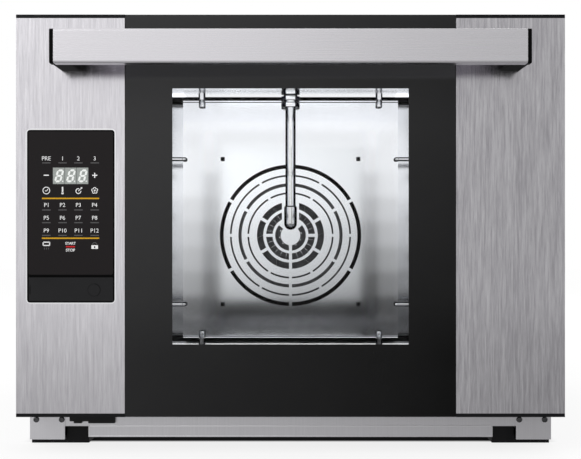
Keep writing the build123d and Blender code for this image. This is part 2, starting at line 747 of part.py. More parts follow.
def guard_slot(inner, outer, spokes, top):
    """One ring slot, cut by its spokes and, near the middle, closed behind the steam pipe."""
    slot = Circle(outer) - Circle(inner)
    for angle in spokes:
        arm = Rot(0, 0, angle) * Pos(outer / 2, 0) * Rectangle(outer + SPOKE, SPOKE)
        slot -= arm
    if top == "bar":
        slot -= Pos(0, outer / 2) * Rectangle(SPOKE_WIDE, outer + SPOKE)
    if top == "wedge":
        reach = 2 * outer
        edge = reach * tan(radians(WEDGE_HALF_ANGLE))
        slot -= make_face(Polyline((0, 0), (edge, reach), (-edge, reach), (0, 0)))
    return slot


def guard_section():
    """The guard's plate and its two rear flanges in Y and Z, with round bends."""
    beyond = CHAMBER_BACK + GUARD_BEND
    outer = outline((GUARD_FRONT, beyond), (GUARD_BOTTOM, GUARD_TOP), GUARD_BEND)
    inner_y = (GUARD_FRONT + SHEET, beyond + SHEET)
    inner_z = (GUARD_BOTTOM + SHEET, GUARD_TOP - SHEET)
    section = outer - outline(inner_y, inner_z, GUARD_BEND - SHEET)
    return section - outline((CHAMBER_BACK, beyond + SHEET), (GUARD_BOTTOM, GUARD_TOP))


def fan_guard():
    guard = side_slab(guard_section(), -GUARD_HALF, GUARD_HALF)
    holes = Pos(0, SLEEVE_BOTTOM + SLEEVE_RADIUS) * Circle(SPOUT_HOLE)
    for inner, outer, spokes, top in GUARD_SLOTS:
        holes += Pos(0, FAN_Z) * guard_slot(inner, outer, spokes, top)
    for x, z in guard_screw_places():
        holes += Pos(x, z) * Circle(SCREW_SHANK)
    return guard - slab(holes, GUARD_FRONT - SHEET, GUARD_FRONT + 2 * SHEET)


def guard_screw_places():
    """The four screws of the fan guard."""
    heights = (GUARD_SCREW_LOW, GUARD_SCREW_HIGH)
    return [(x, z) for x in (-GUARD_SCREW_X, GUARD_SCREW_X) for z in heights]


def guard_fixings():
    """Four long square-headed screws, and four ball-ended retaining pins."""
    fixings = []
    half = GUARD_SCREW_HEAD / 2
    for x, z in guard_screw_places():
        front = GUARD_FRONT - GUARD_SCREW_HEIGHT
        head = block((x - half, x + half), (front, GUARD_FRONT), (z - half, z + half))
        shank = rod((x, GUARD_FRONT, z), (x, CHAMBER_BACK, z), SCREW_SHANK - FIT / 2)
        fixings.append(head + shank)
    y = GUARD_FRONT - RETAINER_BALL
    upper = (CHAMBER_TOP, GUARD_TOP + RETAINER_NUT_GAP, -1)
    lower = (CHAMBER_BOTTOM, GUARD_BOTTOM - RETAINER_NUT_GAP, 1)
    for x in (-RETAINER_X, RETAINER_X):
        for wall, nut_z, inward in (upper, lower):
            ball_z = wall + inward * RETAINER_LENGTH
            pin = rod((x, y, wall), (x, y, ball_z), RETAINER_STEM)
            pin += Pos(x, y, ball_z) * Sphere(RETAINER_BALL)
            pin += hex_bar((x, y, wall), (x, y, nut_z), RETAINER_NUT)
            fixings.append(pin)
    return group(fixings)


def steam_pipe():
    """A chromed tube from the ceiling, swaged out at its end, with a spout to the fan."""
    dome_z = SLEEVE_BOTTOM + SLEEVE_RADIUS
    pipe = rod((0, PIPE_Y, dome_z), (0, PIPE_Y, CHAMBER_TOP), PIPE_RADIUS)
    pipe += rod((0, PIPE_Y, dome_z), (0, PIPE_Y, SLEEVE_TOP), SLEEVE_RADIUS)
    pipe += Pos(0, PIPE_Y, dome_z) * Sphere(SLEEVE_RADIUS)
    shoulder = SLEEVE_RADIUS - PIPE_RADIUS
    taper = Cone(SLEEVE_RADIUS, PIPE_RADIUS, shoulder, align=(Align.CENTER, Align.CENTER, Align.MIN))
    pipe += Pos(0, PIPE_Y, SLEEVE_TOP) * taper
    pipe += rod((0, PIPE_Y, dome_z), (0, GUARD_FRONT - SHEET / 2, dome_z), SPOUT_RADIUS)
    return pipe


def pipe_fitting():
    """A compression fitting with two nuts under the ceiling and a stud through it."""
    low = CHAMBER_TOP - FITTING_LENGTH
    body = rod((0, PIPE_Y, low), (0, PIPE_Y, CHAMBER_TOP), FITTING_RADIUS)
    for z in (low, CHAMBER_TOP - FITTING_NUT_HEIGHT - SHEET):
        body += hex_bar((0, PIPE_Y, z), (0, PIPE_Y, z + FITTING_NUT_HEIGHT), FITTING_NUT)
    body -= rod((0, PIPE_Y, low - FIT), (0, PIPE_Y, CHAMBER_TOP), PIPE_RADIUS)
    body += rod((0, PIPE_Y, CHAMBER_TOP), (0, PIPE_Y, WOOL_TOP_Z), FITTING_STUD)
    return body


def feed_tube():
    points = (
        (0, PIPE_Y, WOOL_TOP_Z),
        (0, PIPE_Y, FEED_Z),
        (0, FEED_DROP_Y, FEED_Z),
        (VALVE_X, FEED_DROP_Y, FEED_Z),
        (VALVE_X, FEED_DROP_Y, VALVE_Z + VALVE_SIZE / 2),
    )
    rise = FEED_Z - WOOL_TOP_Z
    tight = min(FEED_BEND, rise - FIT)
    path = FilletPolyline(*points, radius=[tight, FEED_BEND, FEED_BEND])
    start = Plane(origin=path @ 0, z_dir=path % 0)
    return sweep(start * Circle(FEED_RADIUS), path=path)


def side_rack(side):
    """Welded wire: two uprights, four tray rails and two rods in front of the guard."""
    wall = side * CHAMBER_HALF
    upright_x = side * RACK_X
    wires = []
    for y in (RACK_FRONT, RACK_REAR):
        points = (
            (wall, y, RACK_BOTTOM),
            (upright_x, y, RACK_BOTTOM),
            (upright_x, y, RACK_TOP),
            (wall, y, RACK_TOP),
        )
        wires.append(bent_rod(points, RACK_WIRE, RACK_BEND - FIT))
    for level in range(LEVELS):
        z = LEVEL_FIRST + level * LEVEL_PITCH
        points = (
            (upright_x, RACK_FRONT, z),
            (side * RAIL_X, RACK_FRONT, z),
            (side * RAIL_X, RACK_REAR, z),
            (upright_x, RACK_REAR, z),
        )
        wires.append(bent_rod(points, RACK_WIRE, RACK_BEND))
    for z in (ROD_LOW, ROD_HIGH):
        tip = side * (ROD_TIP_X + RACK_WIRE)
        arm = rod((upright_x, RACK_REAR, z), (tip, RACK_REAR, z), RACK_WIRE)
        arm += Pos(tip, RACK_REAR, z) * Sphere(RACK_WIRE)
        groove = Torus(RACK_WIRE + ROD_GROOVE / 2, ROD_GROOVE)
        arm -= Pos(tip + side * RACK_WIRE, RACK_REAR, z) * Rot(0, 90, 0) * groove
        wires.append(arm)
    rack = wires[0]
    for wire in wires[1:]:
        rack += wire
    return rack


def heating_element():
    """Two coils round the fan, with two tails out through the back."""
    element = Part()
    first = GUARD_FRONT + HEATER_FROM_GUARD
    for turn in range(2):
        y = first + turn * HEATER_PITCH
        element += Pos(0, y, FAN_Z) * Rot(90, 0, 0) * Torus(HEATER_RADIUS, HEATER_WIRE)
    for x, z in heater_leg_places():
        element += rod((x, first - SHEET, z), (x, BULKHEAD_FRONT - FIT, z), HEATER_TAIL)
    return element


def temperature_probe():
    y, z = PROBE_Y, PROBE_Z
    tip = CHAMBER_HALF - PROBE_LENGTH
    wall = CHAMBER_HALF + LINER_SHEET
    probe = rod((tip, y, z), (wall, y, z), PROBE_RADIUS)
    return probe + rod((wall, y, z), (wall + WOOL_SIDE / 2, y, z), PROBE_GLAND)


# Fan


def fan_wheel():
    ring_y = FAN_FRONT
    wheel = slab(Pos(0, FAN_Z) * Circle(FAN_RADIUS), FAN_BACK - FAN_SHEET, FAN_BACK)
    wheel += slab(Pos(0, FAN_Z) * (Circle(FAN_RADIUS) - Circle(FAN_INLET)), ring_y, ring_y + FAN_SHEET)
    wheel += slab(Pos(0, FAN_Z) * Circle(FAN_HUB), FAN_BACK - 2 * FAN_HUB, FAN_BACK)
    length = FAN_RADIUS - FAN_BLADE_INNER
    blade = Pos(length / 2, 0) * Rectangle(length, FAN_SHEET)
    for number in range(FAN_BLADES):
        turn = number * 360 / FAN_BLADES
        placed = Rot(0, 0, turn) * Pos(FAN_BLADE_INNER, 0) * Rot(0, 0, FAN_BLADE_LEAN) * blade
        trimmed = placed & Circle(FAN_RADIUS - FIT)
        wheel += slab(Pos(0, FAN_Z) * trimmed, ring_y, FAN_BACK)
    return wheel - rod((0, ring_y - SHEET, FAN_Z), (0, FAN_BACK + SHEET, FAN_Z), SHAFT)


def fan_nut():
    back = FAN_BACK - 2 * FAN_HUB
    nut = hex_bar((0, back - NUT_HEIGHT, FAN_Z), (0, back, FAN_Z), NUT_SIZE)
    return nut - rod((0, back - NUT_HEIGHT - FIT, FAN_Z), (0, back + FIT, FAN_Z), SHAFT)


def motor_shaft():
    tip = FAN_BACK - 2 * FAN_HUB - NUT_HEIGHT - FIT
    return rod((0, tip, FAN_Z), (0, BULKHEAD_BACK + MOTOR_LENGTH, FAN_Z), SHAFT)


def fan_motor():
    flange_back = BULKHEAD_BACK + MOTOR_FLANGE_SHEET
    half = MOTOR_FLANGE / 2
    shape = outline((-half, half), (FAN_Z - half, FAN_Z + half), CHAMBER_CORNER)
    motor = slab(shape, BULKHEAD_BACK, flange_back)
    body_back = flange_back + MOTOR_LENGTH
    motor += rod((0, flange_back, FAN_Z), (0, body_back, FAN_Z), MOTOR_RADIUS)
    motor += rod((0, body_back, FAN_Z), (0, body_back + MOTOR_BELL, FAN_Z), MOTOR_BELL_RADIUS)
    bore_end = BULKHEAD_BACK + MOTOR_LENGTH + FIT
    bore = rod((0, BULKHEAD_BACK - FIT, FAN_Z), (0, bore_end, FAN_Z), SHAFT + RUNNING_FIT)
    return motor - bore


# Rear space


def flue_pipe():
    place = Pos(FLUE_X, FLUE_Z)
    bore = Circle(FLUE_SPIGOT - FLUE_WALL)
    tube = slab(place * (Circle(FLUE_RADIUS) - bore), CHAMBER_BACK, REAR_FACE)
    return tube + slab(place * (Circle(FLUE_SPIGOT) - bore), REAR_FACE, DEPTH / 2)


def water_valve():
    half = VALVE_SIZE / 2
    xs = (VALVE_X - half, VALVE_X + half)
    front = FEED_DROP_Y - half
    valve = block(xs, (front, front + VALVE_DEPTH), (VALVE_Z - half, VALVE_Z + half))
    stalk = half / 2
    bracket_x = (VALVE_X - stalk, VALVE_X + stalk)
    valve += block(bracket_x, (BULKHEAD_BACK, front), (VALVE_Z - stalk, VALVE_Z + stalk))
    back = front + VALVE_DEPTH
    valve += rod((VALVE_X, back, VALVE_Z), (VALVE_X, REAR_FACE, VALVE_Z), INLET_BOSS)
    valve += rod((VALVE_X, REAR_FACE, VALVE_Z), (VALVE_X, DEPTH / 2, VALVE_Z), INLET_THREAD)
    return valve - rod((VALVE_X, back, VALVE_Z), (VALVE_X, DEPTH / 2 + FIT, VALVE_Z), INLET_BORE)


def power_board():
    front = BULKHEAD_BACK + BOARD_STANDOFF
    back = front + BOARD_SHEET
    board = block((BOARD_LEFT, BOARD_RIGHT), (front, back), (BOARD_BOTTOM, BOARD_TOP))
    for x in (BOARD_LEFT + BOARD_EDGE, BOARD_RIGHT - BOARD_EDGE):
        for z in (BOARD_BOTTOM + BOARD_EDGE, BOARD_TOP - BOARD_EDGE):
            board += rod((x, BULKHEAD_BACK, z), (x, front, z), BOARD_POST)
    first = BOARD_LEFT + 2 * BOARD_EDGE
    relay_z = (BOARD_BOTTOM + BOARD_EDGE, BOARD_BOTTOM + RELAY_SIZE)
    for number in range(RELAY_COUNT):
        x = first + number * (RELAY_SIZE + BOARD_EDGE)
        board += block((x, x + RELAY_SIZE), (back, back + RELAY_SIZE), relay_z)
    coil_top = BOARD_TOP - RELAY_SIZE
    coil_z = (coil_top - COIL_SIZE, coil_top)
    return board + block((first, first + COIL_SIZE), (back, back + COIL_SIZE), coil_z)


def cable_gland():
    inside = REAR_INNER - GLAND_INSIDE
    gland = rod((GLAND_X, inside, GLAND_Z), (GLAND_X, DEPTH / 2, GLAND_Z), GLAND_THREAD)
    gland += hex_bar((GLAND_X, inside, GLAND_Z), (GLAND_X, REAR_INNER, GLAND_Z), GLAND_NUT)
    nut_end = DEPTH / 2 - REAR_STUB / 3
    gland += hex_bar((GLAND_X, REAR_FACE, GLAND_Z), (GLAND_X, nut_end, GLAND_Z), GLAND_NUT)
    return gland - rod((GLAND_X, inside - FIT, GLAND_Z), (GLAND_X, DEPTH / 2 + FIT, GLAND_Z), GLAND_BORE)


def cooling_fan_frame():
    half = COOLER_SIZE / 2
    front = REAR_INNER - COOLER_DEPTH
    square = outline((-half, half), (-half, half), COOLER_SPIDER)
    place = Pos(COOLER_X, COOLER_Z)
    frame = slab(place * (square - Circle(COOLER_DUCT)), front, REAR_INNER)
    arms = Rectangle(COOLER_SIZE, COOLER_SPIDER) + Rectangle(COOLER_SPIDER, COOLER_SIZE)
    arms = (arms & Circle(COOLER_DUCT + FIT)) + Circle(COOLER_HUB)
    frame += slab(place * arms, front, front + COOLER_SPIDER)
    pin_end = REAR_INNER - COOLER_SPIDER
    return frame + rod((COOLER_X, front, COOLER_Z), (COOLER_X, pin_end, COOLER_Z), COOLER_PIN)


def cooling_fan_rotor():
    front = REAR_INNER - COOLER_DEPTH + COOLER_SPIDER + COOLER_GAP
    back = REAR_INNER - COOLER_GAP
    place = Pos(COOLER_X, COOLER_Z)
    rotor = slab(place * Circle(COOLER_HUB), front, back)
    length = COOLER_DUCT - COOLER_GAP - COOLER_HUB / 2
    middle = (front + back) / 2
    for number in range(COOLER_BLADES):
        turn = number * 360 / COOLER_BLADES
        blade = Pos(COOLER_HUB / 2 + length / 2, 0, 0) * Rot(30, 0, 0) * Box(length, COOLER_HUB, SHEET)
        level = Rot(0, 0, turn) * blade
        rotor += Pos(COOLER_X, middle, COOLER_Z) * Rot(90, 0, 0) * level
    keep = rod((COOLER_X, front, COOLER_Z), (COOLER_X, back, COOLER_Z), COOLER_DUCT - COOLER_GAP)
    rotor = rotor & keep
    bore_end = REAR_INNER - COOLER_SPIDER + COOLER_GAP
    bore = rod((COOLER_X, front - FIT, COOLER_Z), (COOLER_X, bore_end, COOLER_Z), COOLER_PIN + RUNNING_FIT)
    return rotor - bore


# Hinges and stays


def hinge_lug():
    """The fixed half of a hinge, on the right: a flange and a round-ended arm."""
    xs = (HINGE_X - LUG_WIDTH / 2, HINGE_X + LUG_WIDTH / 2)
    flange_x = (HINGE_X - LUG_FLANGE_WIDTH / 2, HINGE_X + LUG_FLANGE_WIDTH / 2)
    flange_low = BASE_TOP + FIT
    flange_y = (FRAME_FRONT - LUG_FLANGE_SHEET, FRAME_FRONT)
    lug = block(flange_x, flange_y, (flange_low, flange_low + LUG_FLANGE_HEIGHT))
    arm_y = (HINGE_Y, FRAME_FRONT - LUG_FLANGE_SHEET)
    lug += block(xs, arm_y, (HINGE_Z - LUG_ARM / 2, HINGE_Z + LUG_ARM / 2))
    lug += rod((xs[0], HINGE_Y, HINGE_Z), (xs[1], HINGE_Y, HINGE_Z), LUG_RADIUS)
    ends = (xs[0] - FIT, xs[1] + FIT)
    hole = rod((ends[0], HINGE_Y, HINGE_Z), (ends[1], HINGE_Y, HINGE_Z), HINGE_PIN + RUNNING_FIT)
    return lug - hole


def hinge_span():
    """How far the door's half of a hinge reaches along X."""
    half = LUG_WIDTH / 2 + EAR_GAP + EAR_WIDTH
    return (HINGE_X - half, HINGE_X + half)


def hinge_block():
    """The door's half of a hinge, on the right: two ears joined by a bridge."""
    xs = hinge_span()
    flange_face = DOOR_BACK - DOOR_PLATE_SHEET - DOOR_FLANGE_SHEET
    ys = (flange_face - EAR_DEPTH, flange_face)
    low = DOOR_BOTTOM + FIT
    body = block(xs, ys, (low, low + EAR_HEIGHT))
    gap = LUG_WIDTH / 2 + EAR_GAP
    gap_z = (low - FIT, HINGE_Z + BRIDGE_ABOVE_AXIS)
    body -= block((HINGE_X - gap, HINGE_X + gap), (ys[0] - FIT, ys[1] + FIT), gap_z)
    return body - rod((xs[0] - FIT, HINGE_Y, HINGE_Z), (xs[1] + FIT, HINGE_Y, HINGE_Z), HINGE_PIN)


def hinge_pin():
    xs = hinge_span()
    return rod((xs[0], HINGE_Y, HINGE_Z), (xs[1], HINGE_Y, HINGE_Z), HINGE_PIN)


def door_stay():
    """A flat curved bar on the right, with a boss that carries it on the door frame."""
    half = STAY_WIDTH / 2
    span = STAY_END_ANGLE - STAY_START_ANGLE
    outer = CenterArc((0, 0), STAY_RADIUS + half, STAY_START_ANGLE, span)
    inner = CenterArc((0, 0), STAY_RADIUS - half, STAY_START_ANGLE, span)
    tail = Line(outer @ 0, inner @ 0)
    head = Line(outer @ 1, inner @ 1)
    shape = Pos(HINGE_Y, HINGE_Z) * make_face([outer, inner, tail, head])
    bar = side_slab(shape, STAY_X - STAY_SHEET / 2, STAY_X + STAY_SHEET / 2)
    angle = radians(STAY_END_ANGLE) - asin(half / STAY_RADIUS)
    y = HINGE_Y + STAY_RADIUS * cos(angle)
    z = HINGE_Z + STAY_RADIUS * sin(angle)
    side_wall = HALF - SHEET - DOOR_FLANGE_SHEET
    return bar + rod((STAY_X, y, z), (side_wall, y, z), STAY_BOSS)


# Door


def door_frame():
    """Black folded frame: edge strips, side walls, rear flange and two glass posts."""
    edges = block((-HALF, HALF), (DOOR_FRONT, PLATE_FRONT), (DOOR_BOTTOM, HEIGHT))
    edges -= block((-WIDTH, WIDTH), (DOOR_FRONT - SHEET, DOOR_BACK), (STRIP_LOW, STRIP_HIGH))
    inner = HALF - SHEET
    zs = (STRIP_LOW, STRIP_HIGH)
    flange_front = PLATE_FRONT - DOOR_FLANGE_SHEET
    frame = edges
    for side in (-1, 1):
        wall_x = (side * (inner - DOOR_FLANGE_SHEET), side * inner)
        frame += block(wall_x, (DOOR_FRONT + SHEET, PLATE_FRONT), zs)
        post_x = (side * (SKIN_EDGE - POST_UNDER_GLASS), side * (SKIN_EDGE + POST_UNDER_SKIN))
        frame += block(post_x, (DOOR_FRONT + SHEET, DOOR_FRONT + SHEET + POST_DEPTH), zs)
    flange = outline((-inner, inner), zs)
    hole_x = inner - DOOR_FLANGE_WIDTH
    hole_z = (STRIP_LOW + DOOR_FLANGE_WIDTH - DOOR_PLATE_CORNER, STRIP_HIGH - DOOR_FLANGE_WIDTH / 2)
    flange -= outline((-hole_x, hole_x), hole_z, DOOR_PLATE_CORNER)
    frame += slab(flange, flange_front, PLATE_FRONT)
    seat = (DOOR_FRONT - SHEET, GLASS_SEAT)
    frame -= block((-GLASS_HALF - FIT, GLASS_HALF + FIT), seat, (DOOR_BOTTOM - SHEET, HEIGHT + SHEET))
    low, high = hinge_span()
    cut_y = (flange_front - EAR_DEPTH - FIT, DOOR_BACK + FIT)
    cut_z = (DOOR_BOTTOM - SHEET, HINGE_Z + BRIDGE_ABOVE_AXIS + FIT)
    for side in (-1, 1):
        frame -= block((side * (low - FIT), side * (high + FIT)), cut_y, cut_z)
    for slot in both_sides(stay_ring(STAY_SLOT_GAP)):
        frame -= slot
    return frame


def door_outer_glass():
    shape = outline((-GLASS_HALF, GLASS_HALF), (DOOR_BOTTOM + FIT, HEIGHT - FIT))
    return slab(shape, DOOR_FRONT, DOOR_FRONT + OUTER_GLASS)


def glass_border():
    shape = outline((-GLASS_HALF, GLASS_HALF), (DOOR_BOTTOM + FIT, HEIGHT - FIT))
    return slab(shape - window_outline(), DOOR_FRONT + OUTER_GLASS, GLASS_SEAT)


def inner_glass_outline(inset):
    half = INNER_GLASS_HALF - inset
    zs = (INNER_GLASS_BOTTOM + inset, INNER_GLASS_TOP - inset)
    return outline((-half, half), zs, DOOR_PLATE_CORNER)


def door_inner_glass():
    return slab(inner_glass_outline(0), PLATE_FRONT - INNER_GLASS, PLATE_FRONT)


def door_liner():
    half = HALF - DOOR_PLATE_SIDE_MARGIN
    zs = (DOOR_BOTTOM + DOOR_PLATE_BOTTOM_MARGIN, HEIGHT - DOOR_PLATE_TOP_MARGIN)
    shape = outline((-half, half), zs, DOOR_PLATE_CORNER)
    return slab(shape - inner_glass_outline(INNER_GLASS_LAP), PLATE_FRONT, DOOR_BACK)


def glass_clips():
    clips = []
    edge = INNER_GLASS_HALF
    glass_front = PLATE_FRONT - INNER_GLASS
    for side in (-1, 1):
        for z in (INNER_GLASS_BOTTOM + CLIP_INSET, INNER_GLASS_TOP - CLIP_INSET):
            zs = (z - CLIP_HEIGHT / 2, z + CLIP_HEIGHT / 2)
            riser = edge + FIT
            grip = block(
                (side * (edge - CLIP_GRIP), side * (riser + CLIP_SHEET)),
                (glass_front - CLIP_SHEET, glass_front),
                zs,
            )
            web_x = (side * riser, side * (riser + CLIP_SHEET))
            web = block(web_x, (glass_front - CLIP_SHEET, PLATE_FRONT), zs)
            foot_x = (side * riser, side * (riser + CLIP_FOOT))
            clips.append(grip + web + block(foot_x, (PLATE_FRONT - CLIP_SHEET, PLATE_FRONT), zs))
    return group(clips)


def led_bars():
    """Two aluminium bars behind the printed border, with a channel for the lamps."""
    front = GLASS_SEAT + LIGHT_BAR_BEHIND_GLASS
    ys = (front, front + LIGHT_BAR_DEPTH)
    half = LIGHT_BAR_WIDTH / 2
    bar = block((LIGHT_BAR_X - half, LIGHT_BAR_X + half), ys, (STRIP_LOW, STRIP_HIGH))
    channel = half / 2
    zs = (WINDOW_BOTTOM, WINDOW_TOP)
    bar -= block((LIGHT_BAR_X - channel, LIGHT_BAR_X + channel), (ys[1] - SHEET, ys[1] + FIT), zs)
    return group(both_sides(bar))


def door_skin(side):
    """A brushed steel skin: its front face and the fold down the door's side."""
    shape = outline((side * SKIN_EDGE, side * HALF), (STRIP_LOW, STRIP_HIGH))
    if side < 0:
        shape -= panel_outline(-FIT)
    skin = slab(shape, DOOR_FRONT, DOOR_FRONT + SHEET)
    fold_x = (side * (HALF - SHEET), side * HALF)
    return skin + block(fold_x, (DOOR_FRONT, PLATE_FRONT), (STRIP_LOW, STRIP_HIGH))


def handle_section(inset):
    """The handle's section in Y and Z, smaller all round by an inset."""
    ys = (-DEPTH / 2 + inset, HANDLE_BACK - inset)
    zs = (HANDLE_BOTTOM + inset, HANDLE_TOP - inset)
    return outline(ys, zs, HANDLE_CORNER - inset)


def handle_bar():
    half = HANDLE_HALF - HANDLE_CAP
    return side_slab(handle_section(0) - handle_section(HANDLE_WALL), -half, half)


def handle_end():
    """A black moulded end on the right: cap, plug inside the bar, and arm to the door."""
    inner = HANDLE_HALF - HANDLE_ARM
    cap = side_slab(handle_section(0), HANDLE_HALF - HANDLE_CAP, HANDLE_HALF)
    plug = side_slab(handle_section(HANDLE_WALL), inner, HANDLE_HALF)
    arm = block((inner, HANDLE_HALF), (HANDLE_BACK, DOOR_FRONT), (HANDLE_BOTTOM, HANDLE_TOP))
    arm_edges = arm.edges().filter_by(Axis.Y)
    arm = fillet(arm_edges, HANDLE_CORNER)
    cap_back = block(
        (HANDLE_HALF - HANDLE_CAP, HANDLE_HALF - HANDLE_CORNER),
        (HANDLE_BACK - HANDLE_CORNER, HANDLE_BACK + FIT),
        (HANDLE_BOTTOM + HANDLE_CORNER, HANDLE_TOP - HANDLE_CORNER),
    )
    return cap + plug + arm + cap_back


# Control panel


def touch_outline(grow):
    """The touch glass's outline, larger all round by a given amount."""
    xs = (PANEL_LEFT + PANEL_RIM - grow, PANEL_RIGHT - PANEL_RIM + grow)
    zs = (TOUCH_GLASS_BOTTOM - grow, PANEL_TOP - PANEL_RIM + grow)
    return outline(xs, zs, PANEL_CORNER - PANEL_RIM + FIT)


def cover_limits(grow):
    """The service cover's limits along X and Z, larger all round by a given amount."""
    xs = (PANEL_LEFT + PANEL_RIM - grow, PANEL_RIGHT - PANEL_RIM + grow)
    zs = (PANEL_BOTTOM + PANEL_RIM - grow, COVER_TOP - COVER_GAP + grow)
    return xs, zs


def cover_axis():
    """The service cover turns about this upright line at its left edge."""
    xs, zs = cover_limits(0)
    return xs[0] + COVER_THICKNESS / 2, PANEL_FRONT + COVER_THICKNESS / 2


def control_housing():
    housing = slab(panel_outline(0), PANEL_FRONT, PANEL_BACK)
    glass_back = PANEL_FRONT + TOUCH_GLASS
    housing -= slab(touch_outline(FIT), PANEL_FRONT - FIT, glass_back)
    deep = PANEL_BACK - PANEL_WALL
    ledge_x = (PANEL_LEFT + PANEL_RIM + PANEL_LEDGE, PANEL_RIGHT - PANEL_RIM - PANEL_LEDGE)
    ledge_z = (TOUCH_GLASS_BOTTOM + PANEL_LEDGE, PANEL_TOP - PANEL_RIM - PANEL_LEDGE)
    housing -= block(ledge_x, (glass_back - FIT, deep), ledge_z)
    xs, zs = cover_limits(COVER_GAP)
    housing -= block(xs, (PANEL_FRONT - FIT, PANEL_FRONT + COVER_POCKET), zs)
    middle = (PANEL_LEFT + PANEL_RIGHT) / 2
    well_x = (middle - SOCKET_WELL / 2, middle + SOCKET_WELL / 2)
    well_z = (zs[0] + PANEL_RIM, zs[1] - PANEL_RIM)
    housing -= block(well_x, (PANEL_FRONT, deep), well_z)
    axis_x, axis_y = cover_axis()
    reach = COVER_PIN_LENGTH + COVER_GAP
    pin = rod((axis_x, axis_y, zs[0] - reach), (axis_x, axis_y, zs[1] + reach), COVER_PIN + RUNNING_FIT)
    return housing - pin


def control_glass():
    return slab(touch_outline(0), PANEL_FRONT, PANEL_FRONT + TOUCH_GLASS)


def display_module():
    front = PANEL_FRONT + TOUCH_GLASS
    xs = (DISPLAY_LEFT, DISPLAY_LEFT + DISPLAY_WIDTH)
    return block(xs, (front, front + DISPLAY_DEPTH), (DISPLAY_TOP - DISPLAY_HEIGHT, DISPLAY_TOP))


def control_board():
    """The key board behind the display, and the socket behind the service cover."""
    front = PANEL_FRONT + TOUCH_GLASS + DISPLAY_DEPTH
    inset = PANEL_RIM + PANEL_LEDGE + FIT
    xs = (PANEL_LEFT + inset, PANEL_RIGHT - inset)
    zs = (TOUCH_GLASS_BOTTOM + PANEL_LEDGE + FIT, PANEL_TOP - inset)
    board = block(xs, (front, front + CONTROL_BOARD), zs)
    back = PANEL_BACK - PANEL_WALL
    for x in (xs[0] + inset, xs[1] - inset):
        for z in (zs[0] + inset, zs[1] - inset):
            board += rod((x, front, z), (x, back, z), CONTROL_BOARD_POST)
    middle = (PANEL_LEFT + PANEL_RIGHT) / 2
    socket_x = (middle - SOCKET_WIDTH / 2, middle + SOCKET_WIDTH / 2)
    middle_z = (PANEL_BOTTOM + PANEL_RIM + COVER_TOP) / 2
    socket_z = (middle_z - SOCKET_HEIGHT / 2, middle_z + SOCKET_HEIGHT / 2)
    socket = block(socket_x, (back - SOCKET_DEPTH, back), socket_z)
    wall = SHEET / 2
    hole_x = (socket_x[0] + wall, socket_x[1] - wall)
    hole_z = (socket_z[0] + wall, socket_z[1] - wall)
    socket -= block(hole_x, (back - SOCKET_DEPTH - FIT, back - SHEET), hole_z)
    tongue_z = (middle_z, middle_z + SHEET)
    socket += block((hole_x[0] + SHEET, hole_x[1] - SHEET), (back - SOCKET_DEPTH + SHEET, back), tongue_z)
    return group([board, socket])


def port_cover():
    """The hinged service cover, with a round hinge edge and a pin at each end."""
    xs, zs = cover_limits(0)
    axis_x, axis_y = cover_axis()
    leaf = block((axis_x, xs[1]), (PANEL_FRONT, PANEL_FRONT + COVER_THICKNESS), zs)
    leaf += rod((axis_x, axis_y, zs[0]), (axis_x, axis_y, zs[1]), COVER_THICKNESS / 2)
    reach = COVER_GAP + COVER_PIN_LENGTH
    return leaf + rod((axis_x, axis_y, zs[0] - reach), (axis_x, axis_y, zs[1] + reach), COVER_PIN)


def harness_cover():
    """Black moulding where the door's wiring leaves the base."""
    ys = (BASE_FRONT - WIRING_DEPTH, BASE_FRONT)
    cover = block((WIRING_LEFT, WIRING_RIGHT), ys, (WIRING_BOTTOM, WIRING_TOP))
    low = (WIRING_BOTTOM - WIRING_STEP, WIRING_BOTTOM)
    tab = WIRING_LEFT + WIRING_TAB_START
    cover += block((tab, tab + WIRING_TAB_WIDTH), ys, low)
    return cover + block((WIRING_RIGHT - WIRING_LOW_PART, WIRING_RIGHT), ys, low)


